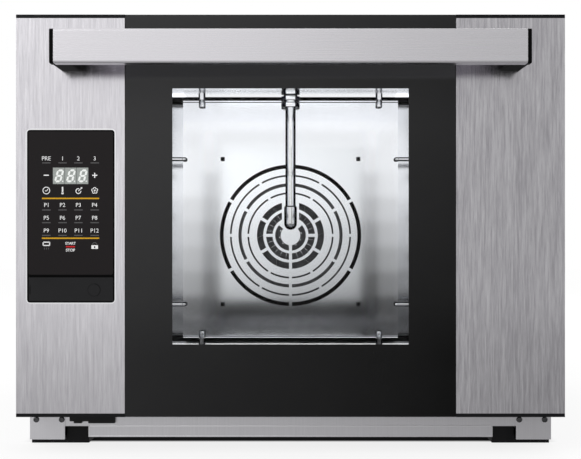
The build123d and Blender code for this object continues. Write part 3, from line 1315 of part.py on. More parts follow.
NODES = {
    "base_pan": base_pan,
    "foot_plates": foot_plates,
    "foot_front_left": lambda: foot(-1, True),
    "foot_front_right": lambda: foot(1, True),
    "foot_rear_left": lambda: foot(-1, False),
    "foot_rear_right": lambda: foot(1, False),
    "base_screws": base_screws,
    "side_panel_left": lambda: side_panel(-1),
    "side_panel_right": lambda: side_panel(1),
    "top_cover": top_cover,
    "rear_panel": rear_panel,
    "front_frame": front_frame,
    "rear_bulkhead": rear_bulkhead,
    "chamber_liner": chamber_liner,
    "chamber_gasket": chamber_gasket,
    "insulation_top": insulation_top,
    "insulation_bottom": insulation_bottom,
    "insulation_sides": insulation_sides,
    "insulation_rear": insulation_rear,
    "fan_guard": fan_guard,
    "guard_fixings": guard_fixings,
    "steam_pipe": steam_pipe,
    "pipe_fitting": pipe_fitting,
    "feed_tube": feed_tube,
    "side_rack_left": lambda: side_rack(-1),
    "side_rack_right": lambda: side_rack(1),
    "heating_element": heating_element,
    "temperature_probe": temperature_probe,
    "fan_wheel": fan_wheel,
    "fan_nut": fan_nut,
    "motor_shaft": motor_shaft,
    "fan_motor": fan_motor,
    "flue_pipe": flue_pipe,
    "water_valve": water_valve,
    "power_board": power_board,
    "cable_gland": cable_gland,
    "cooling_fan_frame": cooling_fan_frame,
    "cooling_fan_rotor": cooling_fan_rotor,
    "hinge_lugs": lambda: group(both_sides(hinge_lug())),
    "hinge_blocks": lambda: group(both_sides(hinge_block())),
    "hinge_pins": lambda: group(both_sides(hinge_pin())),
    "door_stays": lambda: group(both_sides(door_stay())),
    "door_frame": door_frame,
    "door_outer_glass": door_outer_glass,
    "glass_border": glass_border,
    "door_inner_glass": door_inner_glass,
    "door_liner": door_liner,
    "glass_clips": glass_clips,
    "led_bars": led_bars,
    "door_skin_left": lambda: door_skin(-1),
    "door_skin_right": lambda: door_skin(1),
    "handle_bar": handle_bar,
    "handle_ends": lambda: group(both_sides(handle_end())),
    "control_housing": control_housing,
    "control_glass": control_glass,
    "display_module": display_module,
    "control_board": control_board,
    "port_cover": port_cover,
    "harness_cover": harness_cover,
}

os.makedirs("parts", exist_ok=True)
for name, make in NODES.items():
    export_step(make(), f"parts/{name}.step")
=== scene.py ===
from math import atan2, cos, pi, radians, sin

import bmesh
import bpy
from mathutils import Matrix, Vector


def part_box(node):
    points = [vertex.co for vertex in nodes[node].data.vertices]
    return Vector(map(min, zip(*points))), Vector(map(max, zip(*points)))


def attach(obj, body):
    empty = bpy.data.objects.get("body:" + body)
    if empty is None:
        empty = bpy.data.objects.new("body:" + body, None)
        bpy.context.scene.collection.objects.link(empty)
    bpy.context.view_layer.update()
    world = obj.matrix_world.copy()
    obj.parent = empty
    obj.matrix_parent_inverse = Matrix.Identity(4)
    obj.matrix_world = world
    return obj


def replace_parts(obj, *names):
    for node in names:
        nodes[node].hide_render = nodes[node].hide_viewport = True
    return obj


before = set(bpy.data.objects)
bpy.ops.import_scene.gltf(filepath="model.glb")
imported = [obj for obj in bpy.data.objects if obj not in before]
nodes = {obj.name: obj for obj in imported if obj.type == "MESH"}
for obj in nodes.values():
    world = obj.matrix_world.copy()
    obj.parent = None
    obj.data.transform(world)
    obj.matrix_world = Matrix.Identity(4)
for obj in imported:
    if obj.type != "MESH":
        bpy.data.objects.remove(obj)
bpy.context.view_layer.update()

scene = bpy.context.scene
scene.view_settings.view_transform = "Standard"

# The eye
# The photograph's viewpoint: level, 1.18 m in front of the door and straight
# ahead of it, with a lens a little longer than a normal one.
DOOR_FACE_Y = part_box("door_frame")[0][1]
EYE_DISTANCE = 1.180
EYE_HEIGHT = 0.239
eye = bpy.data.cameras.new("eye")
eye.sensor_width = 36.0
eye.lens = 66.9
eye.shift_y = 0.0095
eye_object = bpy.data.objects.new("eye", eye)
eye_object.location = (0.0, DOOR_FACE_Y - EYE_DISTANCE, EYE_HEIGHT)
eye_object.rotation_euler = (radians(90), 0, 0)
scene.collection.objects.link(eye_object)
scene.camera = eye_object

# The room
# A white floor in a white room. Soft lamps stand at the upper left, at the
# right and behind, and the room is dimmer to the lower right in reflections.


def link(tree, source, target):
    tree.links.new(source, target)


def add_node(tree, kind, **settings):
    made = tree.nodes.new(kind)
    for name, value in settings.items():
        setattr(made, name, value)
    return made


def settle(made, **values):
    """Sets a node's sockets, whose names are written with underscores."""
    for name, value in values.items():
        made.inputs[name.replace("_", " ")].default_value = value


def feed(tree, value, socket):
    """Puts a number on a socket, or links another socket to it."""
    if isinstance(value, (int, float)):
        socket.default_value = value
    else:
        link(tree, value, socket)


def math_node(tree, operation, first, second=None):
    """A Math node, with each side either a number or a socket."""
    made = add_node(tree, "ShaderNodeMath", operation=operation)
    for socket, value in zip(made.inputs, (first, second)):
        if value is not None:
            feed(tree, value, socket)
    return made.outputs[0]


def spread(tree, value, low, high, to_low, to_high, smooth=False):
    """A Map Range node that holds its ends."""
    made = add_node(tree, "ShaderNodeMapRange", interpolation_type="SMOOTHSTEP" if smooth else "LINEAR")
    link(tree, value, made.inputs["Value"])
    settle(made, From_Min=low, From_Max=high, To_Min=to_low, To_Max=to_high)
    return made.outputs["Result"]


def axes_of(tree, coordinates):
    """The X, Y and Z of a texture coordinate."""
    place = add_node(tree, "ShaderNodeTexCoord")
    apart = add_node(tree, "ShaderNodeSeparateXYZ")
    link(tree, place.outputs[coordinates], apart.inputs[0])
    return apart.outputs["X"], apart.outputs["Y"], apart.outputs["Z"]


def blend_values(tree, factor, first, second):
    made = add_node(tree, "ShaderNodeMix", data_type="FLOAT")
    link(tree, factor, made.inputs["Factor"])
    feed(tree, first, made.inputs["A"])
    feed(tree, second, made.inputs["B"])
    return made.outputs["Result"]


def new_finish(name):
    """A material, its node tree and its shader."""
    made = bpy.data.materials.new(name)
    made.use_nodes = True
    return made, made.node_tree, made.node_tree.nodes["Principled BSDF"]


room = bpy.data.worlds.new("room")
scene.world = room
room.use_nodes = True
tree = room.node_tree
backdrop = tree.nodes["Background"]
sideways, _, upwards = axes_of(tree, "Generated")
from_left = spread(tree, sideways, -0.12, 0.20, 1.0, 0.48, smooth=True)
from_top = spread(tree, upwards, -0.02, 0.16, 0.86, 1.0)
path = add_node(tree, "ShaderNodeLightPath")
in_gloss = math_node(tree, "MULTIPLY", from_left, from_top)
level = blend_values(tree, path.outputs["Is Glossy Ray"], 1.0, in_gloss)
settle(backdrop, Color=(1.0, 1.0, 1.0, 1.0))
link(tree, level, backdrop.inputs["Strength"])

form = bmesh.new()
bmesh.ops.create_grid(form, x_segments=1, y_segments=1, size=6.0)
floor_mesh = bpy.data.meshes.new("floor")
form.to_mesh(floor_mesh)
form.free()
floor = bpy.data.objects.new("floor", floor_mesh)
scene.collection.objects.link(floor)
floor_paint, tree, paint = new_finish("floor_paint")
settle(paint, Roughness=0.9, Specular_IOR_Level=0.0)
across_floor, along_floor, _ = axes_of(tree, "Object")

# The paint is white in the open and nearly black under the oven, inside these bounds: a painted shadow.
SHADED_FRONT = (-0.206, -0.196)
SHADED_REAR = (0.27, 0.31)
SHADED_SIDE = (0.27, 0.31)
in_front = spread(tree, along_floor, *SHADED_FRONT, 1.0, 0.0)
behind = spread(tree, along_floor, *SHADED_REAR, 0.0, 1.0)
beside_it = spread(tree, math_node(tree, "ABSOLUTE", across_floor), *SHADED_SIDE, 0.0, 1.0)
in_the_open = math_node(tree, "MAXIMUM", math_node(tree, "MAXIMUM", in_front, behind), beside_it)
link(tree, spread(tree, in_the_open, 0.0, 1.0, 0.03, 0.93), paint.inputs["Base Color"])

# Reflections see the floor grow dimmer towards the oven and to the right. Through
# the door's glass it is dimmer still, and twice as bright where it is mirrored twice.
path = add_node(tree, "ShaderNodeLightPath")
near_oven = spread(tree, along_floor, -3.0, -0.5, 0.84, 0.52)
floor_in_gloss = math_node(tree, "MULTIPLY", near_oven, spread(tree, across_floor, -0.3, 0.4, 1.0, 0.58))
far_off = spread(tree, along_floor, -6.0, -2.3, 0.86, 0.44)
through_glass = math_node(tree, "MULTIPLY", far_off, spread(tree, across_floor, -0.3, 0.3, 1.0, 0.66))
mirrored_twice = spread(tree, path.outputs["Glossy Depth"], 1.0, 2.0, 1.0, 2.0)
through_glass = math_node(tree, "MULTIPLY", through_glass, mirrored_twice)
strength = blend_values(tree, path.outputs["Is Glossy Ray"], 1.0, floor_in_gloss)
strength = blend_values(tree, path.outputs["Is Transmission Ray"], strength, through_glass)
glow = add_node(tree, "ShaderNodeEmission")
link(tree, strength, glow.inputs["Strength"])
share = math_node(tree, "MULTIPLY", path.outputs["Is Camera Ray"], 0.80)
share = math_node(tree, "MULTIPLY", share, in_the_open)
for ray in ("Is Glossy Ray", "Is Transmission Ray"):
    share = math_node(tree, "MAXIMUM", share, path.outputs[ray])
both = add_node(tree, "ShaderNodeMixShader")
link(tree, share, both.inputs[0])
link(tree, paint.outputs[0], both.inputs[1])
link(tree, glow.outputs[0], both.inputs[2])
link(tree, both.outputs[0], tree.nodes["Material Output"].inputs["Surface"])
floor_mesh.materials.append(floor_paint)


def lamp(name, place, aim, size, power):
    """A soft rectangular lamp that points at a place."""
    light = bpy.data.lights.new(name, "AREA")
    light.shape = "RECTANGLE"
    light.size, light.size_y = size
    light.energy = power
    made = bpy.data.objects.new(name, light)
    made.location = place
    made.rotation_euler = (Vector(aim) - Vector(place)).to_track_quat("-Z", "Y").to_euler()
    made.visible_camera = False
    scene.collection.objects.link(made)
    return made


lamp("key_lamp", (-1.5, -1.9, 1.5), (-0.1, -0.2, 0.3), (1.2, 1.2), 15.0)
lamp("fill_lamp", (2.0, -1.4, 0.9), (0.1, 0.0, 0.2), (1.0, 1.4), 3.0)
lamp("back_lamp", (0.6, 2.2, 1.8), (0.0, 0.2, 0.3), (1.6, 1.0), 10.0)
# This one only shows through the door's glass, in the mirror of the fan guard.
window_lamp = lamp("window_lamp", (0.0, -3.0, 0.56), (0.0, 0.0, 0.45), (0.9, 0.5), 0.40)
window_lamp.visible_glossy = False
window_lamp.visible_diffuse = False

# Base tray
# The oven stands on a folded tray of satin stainless steel. Its front wall has a
# fine level crease and two flat ridges, rolled into the sheet, whose lighter steel
# is a painted highlight, and two rails inside it carry the chamber.


def pattern_group(name):
    """An empty shader group with a vector going in, and a tone and a height coming out."""
    made = bpy.data.node_groups.new(name, "ShaderNodeTree")
    made.interface.new_socket(name="Vector", in_out="INPUT", socket_type="NodeSocketVector")
    for output in ("Tone", "Height"):
        made.interface.new_socket(name=output, in_out="OUTPUT", socket_type="NodeSocketFloat")
    return made, made.nodes.new("NodeGroupInput").outputs["Vector"], made.nodes.new("NodeGroupOutput")


def noise(tree, vector, scale, detail, roughness):
    made = add_node(tree, "ShaderNodeTexNoise")
    settle(made, Scale=scale, Detail=detail, Roughness=roughness)
    link(tree, vector, made.inputs["Vector"])
    return made.outputs["Fac"]


def weighed(tree, first, second, share):
    """Two values added, the first with its share and the second with the rest."""
    one = math_node(tree, "MULTIPLY", first, share)
    other = math_node(tree, "MULTIPLY", second, 1.0 - share)
    return math_node(tree, "ADD", one, other)


def two_noises(name, broad, fine, share, low=0.35):
    """A group whose tone is a broad noise with its share and a fine one with the rest.

    Each noise is a scale, a detail and a roughness. Its contrast is raised so that
    low becomes 0, and the height is the fine noise.
    """
    made, start, end = pattern_group(name)
    thin = noise(made, start, *fine)
    mixed = weighed(made, noise(made, start, *broad), thin, share)
    link(made, spread(made, mixed, low, 1.0 - low, 0.0, 1.0), end.inputs["Tone"])
    link(made, thin, end.inputs["Height"])
    return made


def material(name, light, dark, rough, group, stretch=(1, 1, 1), bump=0.0, depth=0.0001, **sockets):
    """A finish whose pattern tints the colour, varies the gloss and raises the surface."""
    made, tree, shader = new_finish(name)
    settle(shader, **sockets)
    place = add_node(tree, "ShaderNodeTexCoord")
    turn = add_node(tree, "ShaderNodeMapping")
    settle(turn, Scale=stretch)
    link(tree, place.outputs["Object"], turn.inputs["Vector"])
    pattern = add_node(tree, "ShaderNodeGroup", node_tree=group, name="pattern")
    link(tree, turn.outputs["Vector"], pattern.inputs["Vector"])
    tint = add_node(tree, "ShaderNodeMix", data_type="RGBA", name="tint")
    settle(tint, A=(*dark, 1.0), B=(*light, 1.0))
    link(tree, pattern.outputs["Tone"], tint.inputs["Factor"])
    link(tree, tint.outputs["Result"], shader.inputs["Base Color"])
    link(tree, spread(tree, pattern.outputs["Tone"], 0.0, 1.0, *rough), shader.inputs["Roughness"])
    if bump:
        relief = add_node(tree, "ShaderNodeBump")
        settle(relief, Strength=bump, Distance=depth)
        link(tree, pattern.outputs["Height"], relief.inputs["Height"])
        link(tree, relief.outputs["Normal"], shader.inputs["Normal"])
    return made


def metal(name, light, dark, rough, group, **settings):
    return material(name, light, dark, rough, group, Metallic=1.0, **settings)


def dress(made, *names):
    """Gives CAD nodes their finish."""
    for name in names:
        data = nodes[name].data
        data.materials.clear()
        data.materials.append(made)


def plate(form, xs, zs, front, back):
    """A thin rectangular plate, standing upright and facing the front."""
    place = Matrix.Translation((sum(xs) / 2, (front + back) / 2, sum(zs) / 2))
    size = Matrix.Diagonal((xs[1] - xs[0], abs(back - front), zs[1] - zs[0], 1.0))
    bmesh.ops.create_cube(form, size=1.0, matrix=place @ size)


def break_edges(form, width, segments=1):
    """Takes the sharpness off every edge."""
    bmesh.ops.bevel(form, geom=form.edges[:], offset=width, offset_type="OFFSET", affect="EDGES",
                    segments=segments, profile=0.5, material=-1, clamp_overlap=True)


def piece(name, form, finish, body):
    """Closes a mesh, turns its faces outwards and puts it on its CAD body."""
    bmesh.ops.remove_doubles(form, verts=form.verts, dist=0.000001)
    bmesh.ops.recalc_face_normals(form, faces=form.faces)
    data = bpy.data.meshes.new(name)
    form.to_mesh(data)
    form.free()
    data.shade_smooth()
    data.set_sharp_from_angle(angle=radians(35))
    data.materials.append(finish)
    made = bpy.data.objects.new(name, data)
    scene.collection.objects.link(made)
    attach(made, body)
    return made


# Brush lines: hair-fine scratches over wider, fainter streaks.
brushed = two_noises("brush_lines", (0.4, 2.0, 0.6), (1.0, 3.0, 0.7), 0.2, low=0.32)
UPRIGHT_GRAIN = (1400, 1400, 7)
LEVEL_GRAIN = (7, 1400, 1400)
tray_steel = metal("tray_steel", (0.80, 0.79, 0.82), (0.73, 0.72, 0.75), (0.32, 0.42), brushed,
                   stretch=UPRIGHT_GRAIN, bump=0.1, depth=0.0002)
dress(tray_steel, "base_pan")

BASE_FACE_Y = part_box("base_pan")[0][1]
RIDGE_HALF = 0.2295
RIDGES_Z = ((0.0197, 0.0213), (0.0082, 0.0096))
RIDGE_PROUD = 0.0005
RIDGE_ROOT = 0.0001
# The ridges' steel is lighter than the tray's: painted highlights along the crease and over the bottom edge.
ridge_highlight_steel = metal("ridge_highlight_steel", (0.96, 0.95, 0.98), (0.90, 0.89, 0.92), (0.28, 0.36), brushed,
                    stretch=LEVEL_GRAIN, bump=0.1)
form = bmesh.new()
for zs in RIDGES_Z:
    plate(form, (-RIDGE_HALF, RIDGE_HALF), zs, BASE_FACE_Y - RIDGE_PROUD, BASE_FACE_Y + RIDGE_ROOT)
break_edges(form, 0.00025, segments=2)
piece("tray_ridges", form, ridge_highlight_steel, "cabinet")

# Feet
# Four rubber feet, each a ribbed pad under a folded steel corner plate with a
# block that fills the notch in the tray. Eight pan-head screws hold the plates.


def soften(width, *names, segments=2, clamp=False):
    """Rounds the sharp edges of CAD nodes, as folding, sawing and moulding leave them."""
    for name in names:
        weld = nodes[name].modifiers.new("weld", "WELD")
        weld.merge_threshold = 0.000002
        edge = nodes[name].modifiers.new("edge", "BEVEL")
        edge.width = width
        edge.segments = segments
        edge.angle_limit = radians(40)
        edge.use_clamp_overlap = clamp
        even = nodes[name].modifiers.new("even", "WEIGHTED_NORMAL")
        even.weight = 100


def lathe(form, profile, centre, axis, steps=48):
    """Turns a profile of (radius, height) pairs about an axis."""
    axis = Vector(axis).normalized()
    across = axis.orthogonal().normalized()
    rim = [form.verts.new(Vector(centre) + across * radius + axis * height) for radius, height in profile]
    line = [form.edges.new(pair) for pair in zip(rim, rim[1:])]
    bmesh.ops.spin(form, geom=rim + line, cent=centre, axis=axis, angle=2 * pi, steps=steps, use_merge=True)


RECESS_LOBES = 6
RECESS_WAVE = 0.16


def pan_head(form, place, axis, radius=0.0034, height=0.0016, shank=0.004):
    """A pan-head screw with a six-lobed recess, and the start of its shank."""
    before = set(form.verts)
    recess = radius * 0.5
    profile = [(0, -shank), (radius * 0.5, -shank), (radius * 0.5, 0), (radius, 0), (radius, height * 0.35),
               (radius * 0.93, height * 0.7), (radius * 0.75, height * 0.95), (recess * 1.2, height),
               (recess, height * 0.96), (recess * 0.95, height * 0.35), (0, height * 0.25)]
    lathe(form, profile, place, axis, 24)
    axis = Vector(axis).normalized()
    side = axis.orthogonal().normalized()
    other = axis.cross(side)
    for vert in set(form.verts) - before:
        out = vert.co - Vector(place)
        up = out.dot(axis)
        flat = out - axis * up
        if flat.length < recess * 1.1 and up > 0:
            turn = atan2(flat.dot(other), flat.dot(side))
            vert.co = Vector(place) + axis * up + flat * (1 + RECESS_WAVE * cos(RECESS_LOBES * turn))


# Rubber: a dull, very fine pitted skin.
pitted = two_noises("pitted_rubber", (40.0, 3.0, 0.6), (1500.0, 3.0, 0.7), 0.6)
FEET = ("foot_front_left", "foot_front_right", "foot_rear_left", "foot_rear_right")
rubber = material("rubber", (0.010, 0.010, 0.011), (0.005, 0.005, 0.006), (0.55, 0.75), pitted, bump=0.3,
                  IOR=1.3)
dress(rubber, *FEET)
soften(0.0008, *FEET, segments=3)
dress(tray_steel, "foot_plates")

# Rolled sheet: a soft mottle with a faint grain in it.
rolled = two_noises("rolled_sheet", (14.0, 4.0, 0.55), (900.0, 2.0, 0.6), 0.7, low=0.3)
PLATE_SCREW_Z = 0.028
PLATE_SCREW_X = (0.2907, 0.2616)
screw_dark = metal("screw_dark", (0.13, 0.13, 0.135), (0.08, 0.08, 0.085), (0.12, 0.2), rolled)
plates_low, plates_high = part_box("foot_plates")
form = bmesh.new()
for side in (-1, 1):
    for x in PLATE_SCREW_X:
        pan_head(form, (side * x, plates_low[1], PLATE_SCREW_Z), (0, -1, 0), shank=0.0035)
        pan_head(form, (side * x, plates_high[1], PLATE_SCREW_Z), (0, 1, 0), shank=0.0035)
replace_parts(piece("foot_plate_screws", form, screw_dark, "cabinet"), "base_screws")

# Cabinet
# Two side panels, a top and a front frame of satin stainless steel, and a rear
# panel and bulkhead of zinc-coated sheet. Pressed louvres let the heat out.
satin_steel = metal("satin_steel", (0.56, 0.55, 0.58), (0.49, 0.48, 0.51), (0.30, 0.42), rolled, bump=0.05)
dress(satin_steel, "side_panel_left", "side_panel_right", "top_cover", "front_frame")
zinc_sheet = material("zinc_sheet", (0.51, 0.52, 0.54), (0.43, 0.44, 0.46), (0.38, 0.50), rolled,
                      stretch=(2.6, 2.6, 2.6), bump=0.05, Metallic=0.9)
dress(zinc_sheet, "rear_panel", "rear_bulkhead")
soften(0.0004, "top_cover")


def set_along(middle, axes, size):
    """The matrix that gives a form its place, its three axes and its size along each."""
    turn = Matrix(axes).transposed().to_4x4()
    return Matrix.Translation(middle) @ turn @ Matrix.Diagonal((*size, 1.0))


UP = Vector((0, 0, 1))
LOUVRE_ROWS = 6
LOUVRE_PITCH = 0.012
LOUVRE_LENGTH = 0.064
LOUVRE_HEIGHT = 0.0085
LOUVRE_LIP = 0.0022
LOUVRE_WALL = 0.0003
LOUVRE_LIFT = 0.0001


def louvres(form, lowest, along, outward, proud):
    """A column of pressed hoods over slots, each open at its lower side."""
    along, outward = Vector(along), Vector(outward)
    for row in range(LOUVRE_ROWS):
        middle = Vector(lowest) + outward * LOUVRE_LIFT + UP * row * LOUVRE_PITCH
        hood = bmesh.new()
        bmesh.ops.create_uvsphere(hood, u_segments=28, v_segments=14, radius=1.0)
        shape = set_along(middle, (along, outward, UP), (LOUVRE_LENGTH / 2, proud, LOUVRE_HEIGHT))
        bmesh.ops.transform(hood, matrix=shape, verts=hood.verts)
        for place, normal in ((middle - UP * LOUVRE_LIP, -UP), (middle, -outward)):
            everything = hood.verts[:] + hood.edges[:] + hood.faces[:]
            bmesh.ops.bisect_plane(hood, geom=everything, plane_co=place, plane_no=normal, clear_outer=True)
        bmesh.ops.solidify(hood, geom=hood.faces[:], thickness=LOUVRE_WALL)
        pressed = bpy.data.meshes.new("hood")
        hood.to_mesh(pressed)
        hood.free()
        form.from_mesh(pressed)
        bpy.data.meshes.remove(pressed)


side_face_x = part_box("side_panel_right")[1][0]
for name, side in (("side_louvres_left", -1), ("side_louvres_right", 1)):
    form = bmesh.new()
    louvres(form, (side * side_face_x, 0.2528, 0.0715), (0, 1, 0), (side, 0, 0), 0.0015)
    piece(name, form, satin_steel, "cabinet")
REAR_FACE_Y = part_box("rear_panel")[1][1]
form = bmesh.new()
for x in (-0.170, -0.098):
    louvres(form, (x, REAR_FACE_Y, 0.3345), (1, 0, 0), (0, 1, 0), 0.003)
piece("rear_louvres", form, zinc_sheet, "cabinet")


def screws_round(form, xs, zs, side_zs, y, **sizes):
    """Pan-head screws along a panel's bottom and top, and some up its two sides."""
    for x, z in [(x, z) for x in xs for z in zs] + [(x, z) for z in side_zs for x in (xs[0], xs[-1])]:
        pan_head(form, (x, y, z), (0, 1, 0), **sizes)


screw_steel = metal("screw_steel", (0.66, 0.66, 0.67), (0.55, 0.55, 0.56), (0.2, 0.3), rolled)
form = bmesh.new()
screws_round(form, (-0.288, -0.096, 0.096, 0.288), (0.056, 0.462), (0.190, 0.320), REAR_FACE_Y)
piece("rear_panel_screws", form, screw_steel, "cabinet")

# Chamber
# A bright, smooth stainless box with round corners, wrapped in glass wool. A
# black silicone seal runs round its mouth, where the door closes on it. Behind the
# fan guard and in the gaps over and under it, its colour is painted dark and dull
# as shade, and its floor is painted darker.
GUARD_PLATE_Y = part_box("fan_guard")[0][1]
GUARD_MIDDLE_Z = 0.262
SHADE_PAINT_DEPTH = (GUARD_PLATE_Y + 0.002, GUARD_PLATE_Y + 0.008)
SHADE_PAINT_WIDTH = (0.146, 0.154)
SHADE_PAINT_GAPS = (0.1735, 0.1775)
CHAMBER_FLOOR_Z = (0.084, 0.096)


def painted_over(finish, mask, colour):
    """Lays another colour over a finish where a mask is 1."""
    tree = finish.node_tree
    painted = tree.nodes["Principled BSDF"].inputs["Base Color"]
    over = add_node(tree, "ShaderNodeMix", data_type="RGBA")
    link(tree, mask, over.inputs["Factor"])
    link(tree, painted.links[0].from_socket, over.inputs["A"])
    settle(over, B=(*colour, 1.0))
    link(tree, over.outputs["Result"], painted)


chamber_steel = metal("chamber_steel", (0.84, 0.855, 0.89), (0.80, 0.815, 0.85), (0.10, 0.14), rolled)
tree = chamber_steel.node_tree
shader = tree.nodes["Principled BSDF"]
across, depth, height = axes_of(tree, "Object")
# Painted shade: behind the guard's plate and in the gaps over and under it, the steel is painted dark, dull
# and not metallic.
beyond = spread(tree, depth, *SHADE_PAINT_DEPTH, 0.0, 1.0, smooth=True)
hidden = spread(tree, math_node(tree, "ABSOLUTE", across), *SHADE_PAINT_WIDTH, 1.0, 0.0, smooth=True)
off_middle = math_node(tree, "ABSOLUTE", math_node(tree, "SUBTRACT", height, GUARD_MIDDLE_Z))
in_gap = spread(tree, off_middle, *SHADE_PAINT_GAPS, 0.0, 1.0, smooth=True)
painted_shade = math_node(tree, "MULTIPLY", beyond, math_node(tree, "MAXIMUM", hidden, in_gap))
on_floor = spread(tree, height, *CHAMBER_FLOOR_Z, 0.5, 0.0, smooth=True)
painted_over(chamber_steel, math_node(tree, "MAXIMUM", painted_shade, on_floor), (0.020, 0.019, 0.019))
link(tree, math_node(tree, "SUBTRACT", 1.0, painted_shade), shader.inputs["Metallic"])
gloss = shader.inputs["Roughness"].links[0].from_socket
link(tree, blend_values(tree, painted_shade, gloss, 0.95), shader.inputs["Roughness"])
dress(chamber_steel, "chamber_liner")

silicone = material("silicone", (0.020, 0.020, 0.022), (0.012, 0.012, 0.013), (0.45, 0.6), pitted, bump=0.15)
dress(silicone, "chamber_gasket")
soften(0.0022, "chamber_gasket", segments=4)

# Glass wool: long pale fibres laid over each other two ways.
fibres, start, end = pattern_group("wool_fibres")
lays = []
for stretch, turn in (((1.0, 9.0, 9.0), (0.3, 0.2, 0.5)), ((9.0, 1.0, 9.0), (-0.4, 0.3, -0.3))):
    turned = add_node(fibres, "ShaderNodeMapping")
    settle(turned, Scale=stretch, Rotation=turn)
    link(fibres, start, turned.inputs["Vector"])
    lays.append(noise(fibres, turned.outputs["Vector"], 60.0, 4.0, 0.7))
laid = weighed(fibres, *lays, 0.5)
link(fibres, spread(fibres, laid, 0.35, 0.65, 0.0, 1.0), end.inputs["Tone"])
link(fibres, laid, end.inputs["Height"])
glass_wool = material("glass_wool", (0.72, 0.66, 0.42), (0.42, 0.36, 0.20), (0.9, 1.0), fibres, bump=0.8,
                      depth=0.001)
WOOL = ("insulation_top", "insulation_bottom", "insulation_sides", "insulation_rear")
dress(glass_wool, *WOOL)
soften(0.003, *WOOL, segments=3)

# Fan guard
# A polished steel plate with two folded edges and seven rings of slots stands in
# front of the fan, with a thin strip along its top and, under the strip, a dark
# line of painted shade. Four black square-headed screws and four chromed pins with
# hexagon nuts hold it.
guard_steel = metal("guard_steel", (0.93, 0.942, 0.975), (0.91, 0.922, 0.955), (0.105, 0.125), rolled)
dress(guard_steel, "fan_guard")

# Chrome's round sides are painted dark, a painted reflection of the dim end of the room.
chrome = metal("chrome", (0.94, 0.94, 0.95), (0.88, 0.88, 0.90), (0.05, 0.10), rolled,
               Specular_Tint=(0.25, 0.25, 0.26, 1.0))
facing = add_node(chrome.node_tree, "ShaderNodeLayerWeight")
settle(facing, Blend=0.5)
sides = spread(chrome.node_tree, facing.outputs["Facing"], 0.13, 0.32, 0.0, 1.0, smooth=True)
painted_over(chrome, sides, (0.035, 0.035, 0.04))

# The screws and the pins are one node: what is nearer to the middle is a screw.
SCREWS_WITHIN = 0.112
fixings_finish = chrome.copy()
fixings_finish.name = "fixings"
tree = fixings_finish.node_tree
shader = tree.nodes["Principled BSDF"]
across, _, _ = axes_of(tree, "Object")
on_screws = math_node(tree, "LESS_THAN", math_node(tree, "ABSOLUTE", across), SCREWS_WITHIN)
painted_over(fixings_finish, on_screws, (0.012, 0.012, 0.013))
link(tree, math_node(tree, "SUBTRACT", 1.0, on_screws), shader.inputs["Metallic"])
link(tree, spread(tree, on_screws, 0.0, 1.0, 0.07, 0.6), shader.inputs["Roughness"])
dress(fixings_finish, "guard_fixings")

PIN_X = 0.129
PIN_NUTS_Z = (0.4295, 0.0944)
NUT_HEIGHT = 0.0098
NUT_RADIUS = 0.0050
NUT_REACH = 0.0052
form = bmesh.new()
for x in (-PIN_X, PIN_X):
    for z in PIN_NUTS_Z:
        bmesh.ops.create_cone(form, cap_ends=True, segments=6, radius1=NUT_RADIUS, radius2=NUT_RADIUS,
                              depth=NUT_HEIGHT, matrix=Matrix.Translation((x, GUARD_PLATE_Y - NUT_REACH, z)))
break_edges(form, 0.0008, segments=2)
piece("pin_nuts", form, chrome, "cabinet")

GUARD_HALF = 0.157
TRIM_PROUD = 0.0004
SHADE_LINE_Z = (0.43245, 0.43335)
STRIP_Z = (SHADE_LINE_Z[1], 0.43515)
# The thin black line under the strip is painted shade, standing for the shade under the guard's fold.
shade_line_black = material("shade_line_black", (0.03, 0.03, 0.032), (0.015, 0.015, 0.016), (0.4, 0.6), rolled)
for name, zs, finish in (("guard_top_strip", STRIP_Z, guard_steel), ("guard_shade_line", SHADE_LINE_Z, shade_line_black)):
    form = bmesh.new()
    plate(form, (-GUARD_HALF, GUARD_HALF), zs, GUARD_PLATE_Y - TRIM_PROUD, GUARD_PLATE_Y)
    break_edges(form, 0.0001)
    piece(name, form, finish, "cabinet")

# Steam pipe
# A chromed tube comes down from the ceiling, held by a chromed brass fitting
# with two nuts, and ends in a wider sleeve that feeds water to the fan.
dress(chrome, "steam_pipe", "pipe_fitting")
soften(0.0006, "pipe_fitting")

# Racks and probe
# Two racks of chromed 6 mm wire, bent and welded, carry the baking trays. The
# temperature probe is a closed steel tube through the right wall.
dress(chrome, "side_rack_left", "side_rack_right", "temperature_probe")

# Fan and heater
# The fan wheel is welded from steel sheet, with ribs and rivets on its bright
# hub, and held by one nut. Round it lie the two coils of the tubular heater,
# dark from use.
wheel_steel = metal("wheel_steel", (0.13, 0.13, 0.135), (0.08, 0.08, 0.085), (0.25, 0.4), rolled)
dress(wheel_steel, "fan_wheel")
bright_chrome = metal("bright_chrome", (0.90, 0.90, 0.92), (0.84, 0.84, 0.86), (0.08, 0.12), rolled)
dress(bright_chrome, "fan_nut")
FAN_CENTRE_Z = 0.2385
DISC_FACE_Y = 0.1765
HUB_FACE_Y = 0.142
BACKWARDS = Vector((0, 1, 0))
RIBS = 24
RIB_CIRCLE = 0.0315
RIB_SIZE = (0.0075, 0.0016, 0.0014)
RIVETS = 10
RIVET_CIRCLE = 0.0158
RIVET_PROFILE = [(0, 0.001), (0.0017, 0.001), (0.0017, -0.0004), (0.0012, -0.0011), (0, -0.0013)]
form = bmesh.new()
for number in range(RIBS):
    turn = number * 2 * pi / RIBS + 0.05
    out = Vector((cos(turn), 0, sin(turn)))
    middle = Vector((0, DISC_FACE_Y, FAN_CENTRE_Z)) + out * RIB_CIRCLE
    bmesh.ops.create_uvsphere(form, u_segments=12, v_segments=8, radius=1.0,
                              matrix=set_along(middle, (out, BACKWARDS, out.cross(BACKWARDS)), RIB_SIZE))
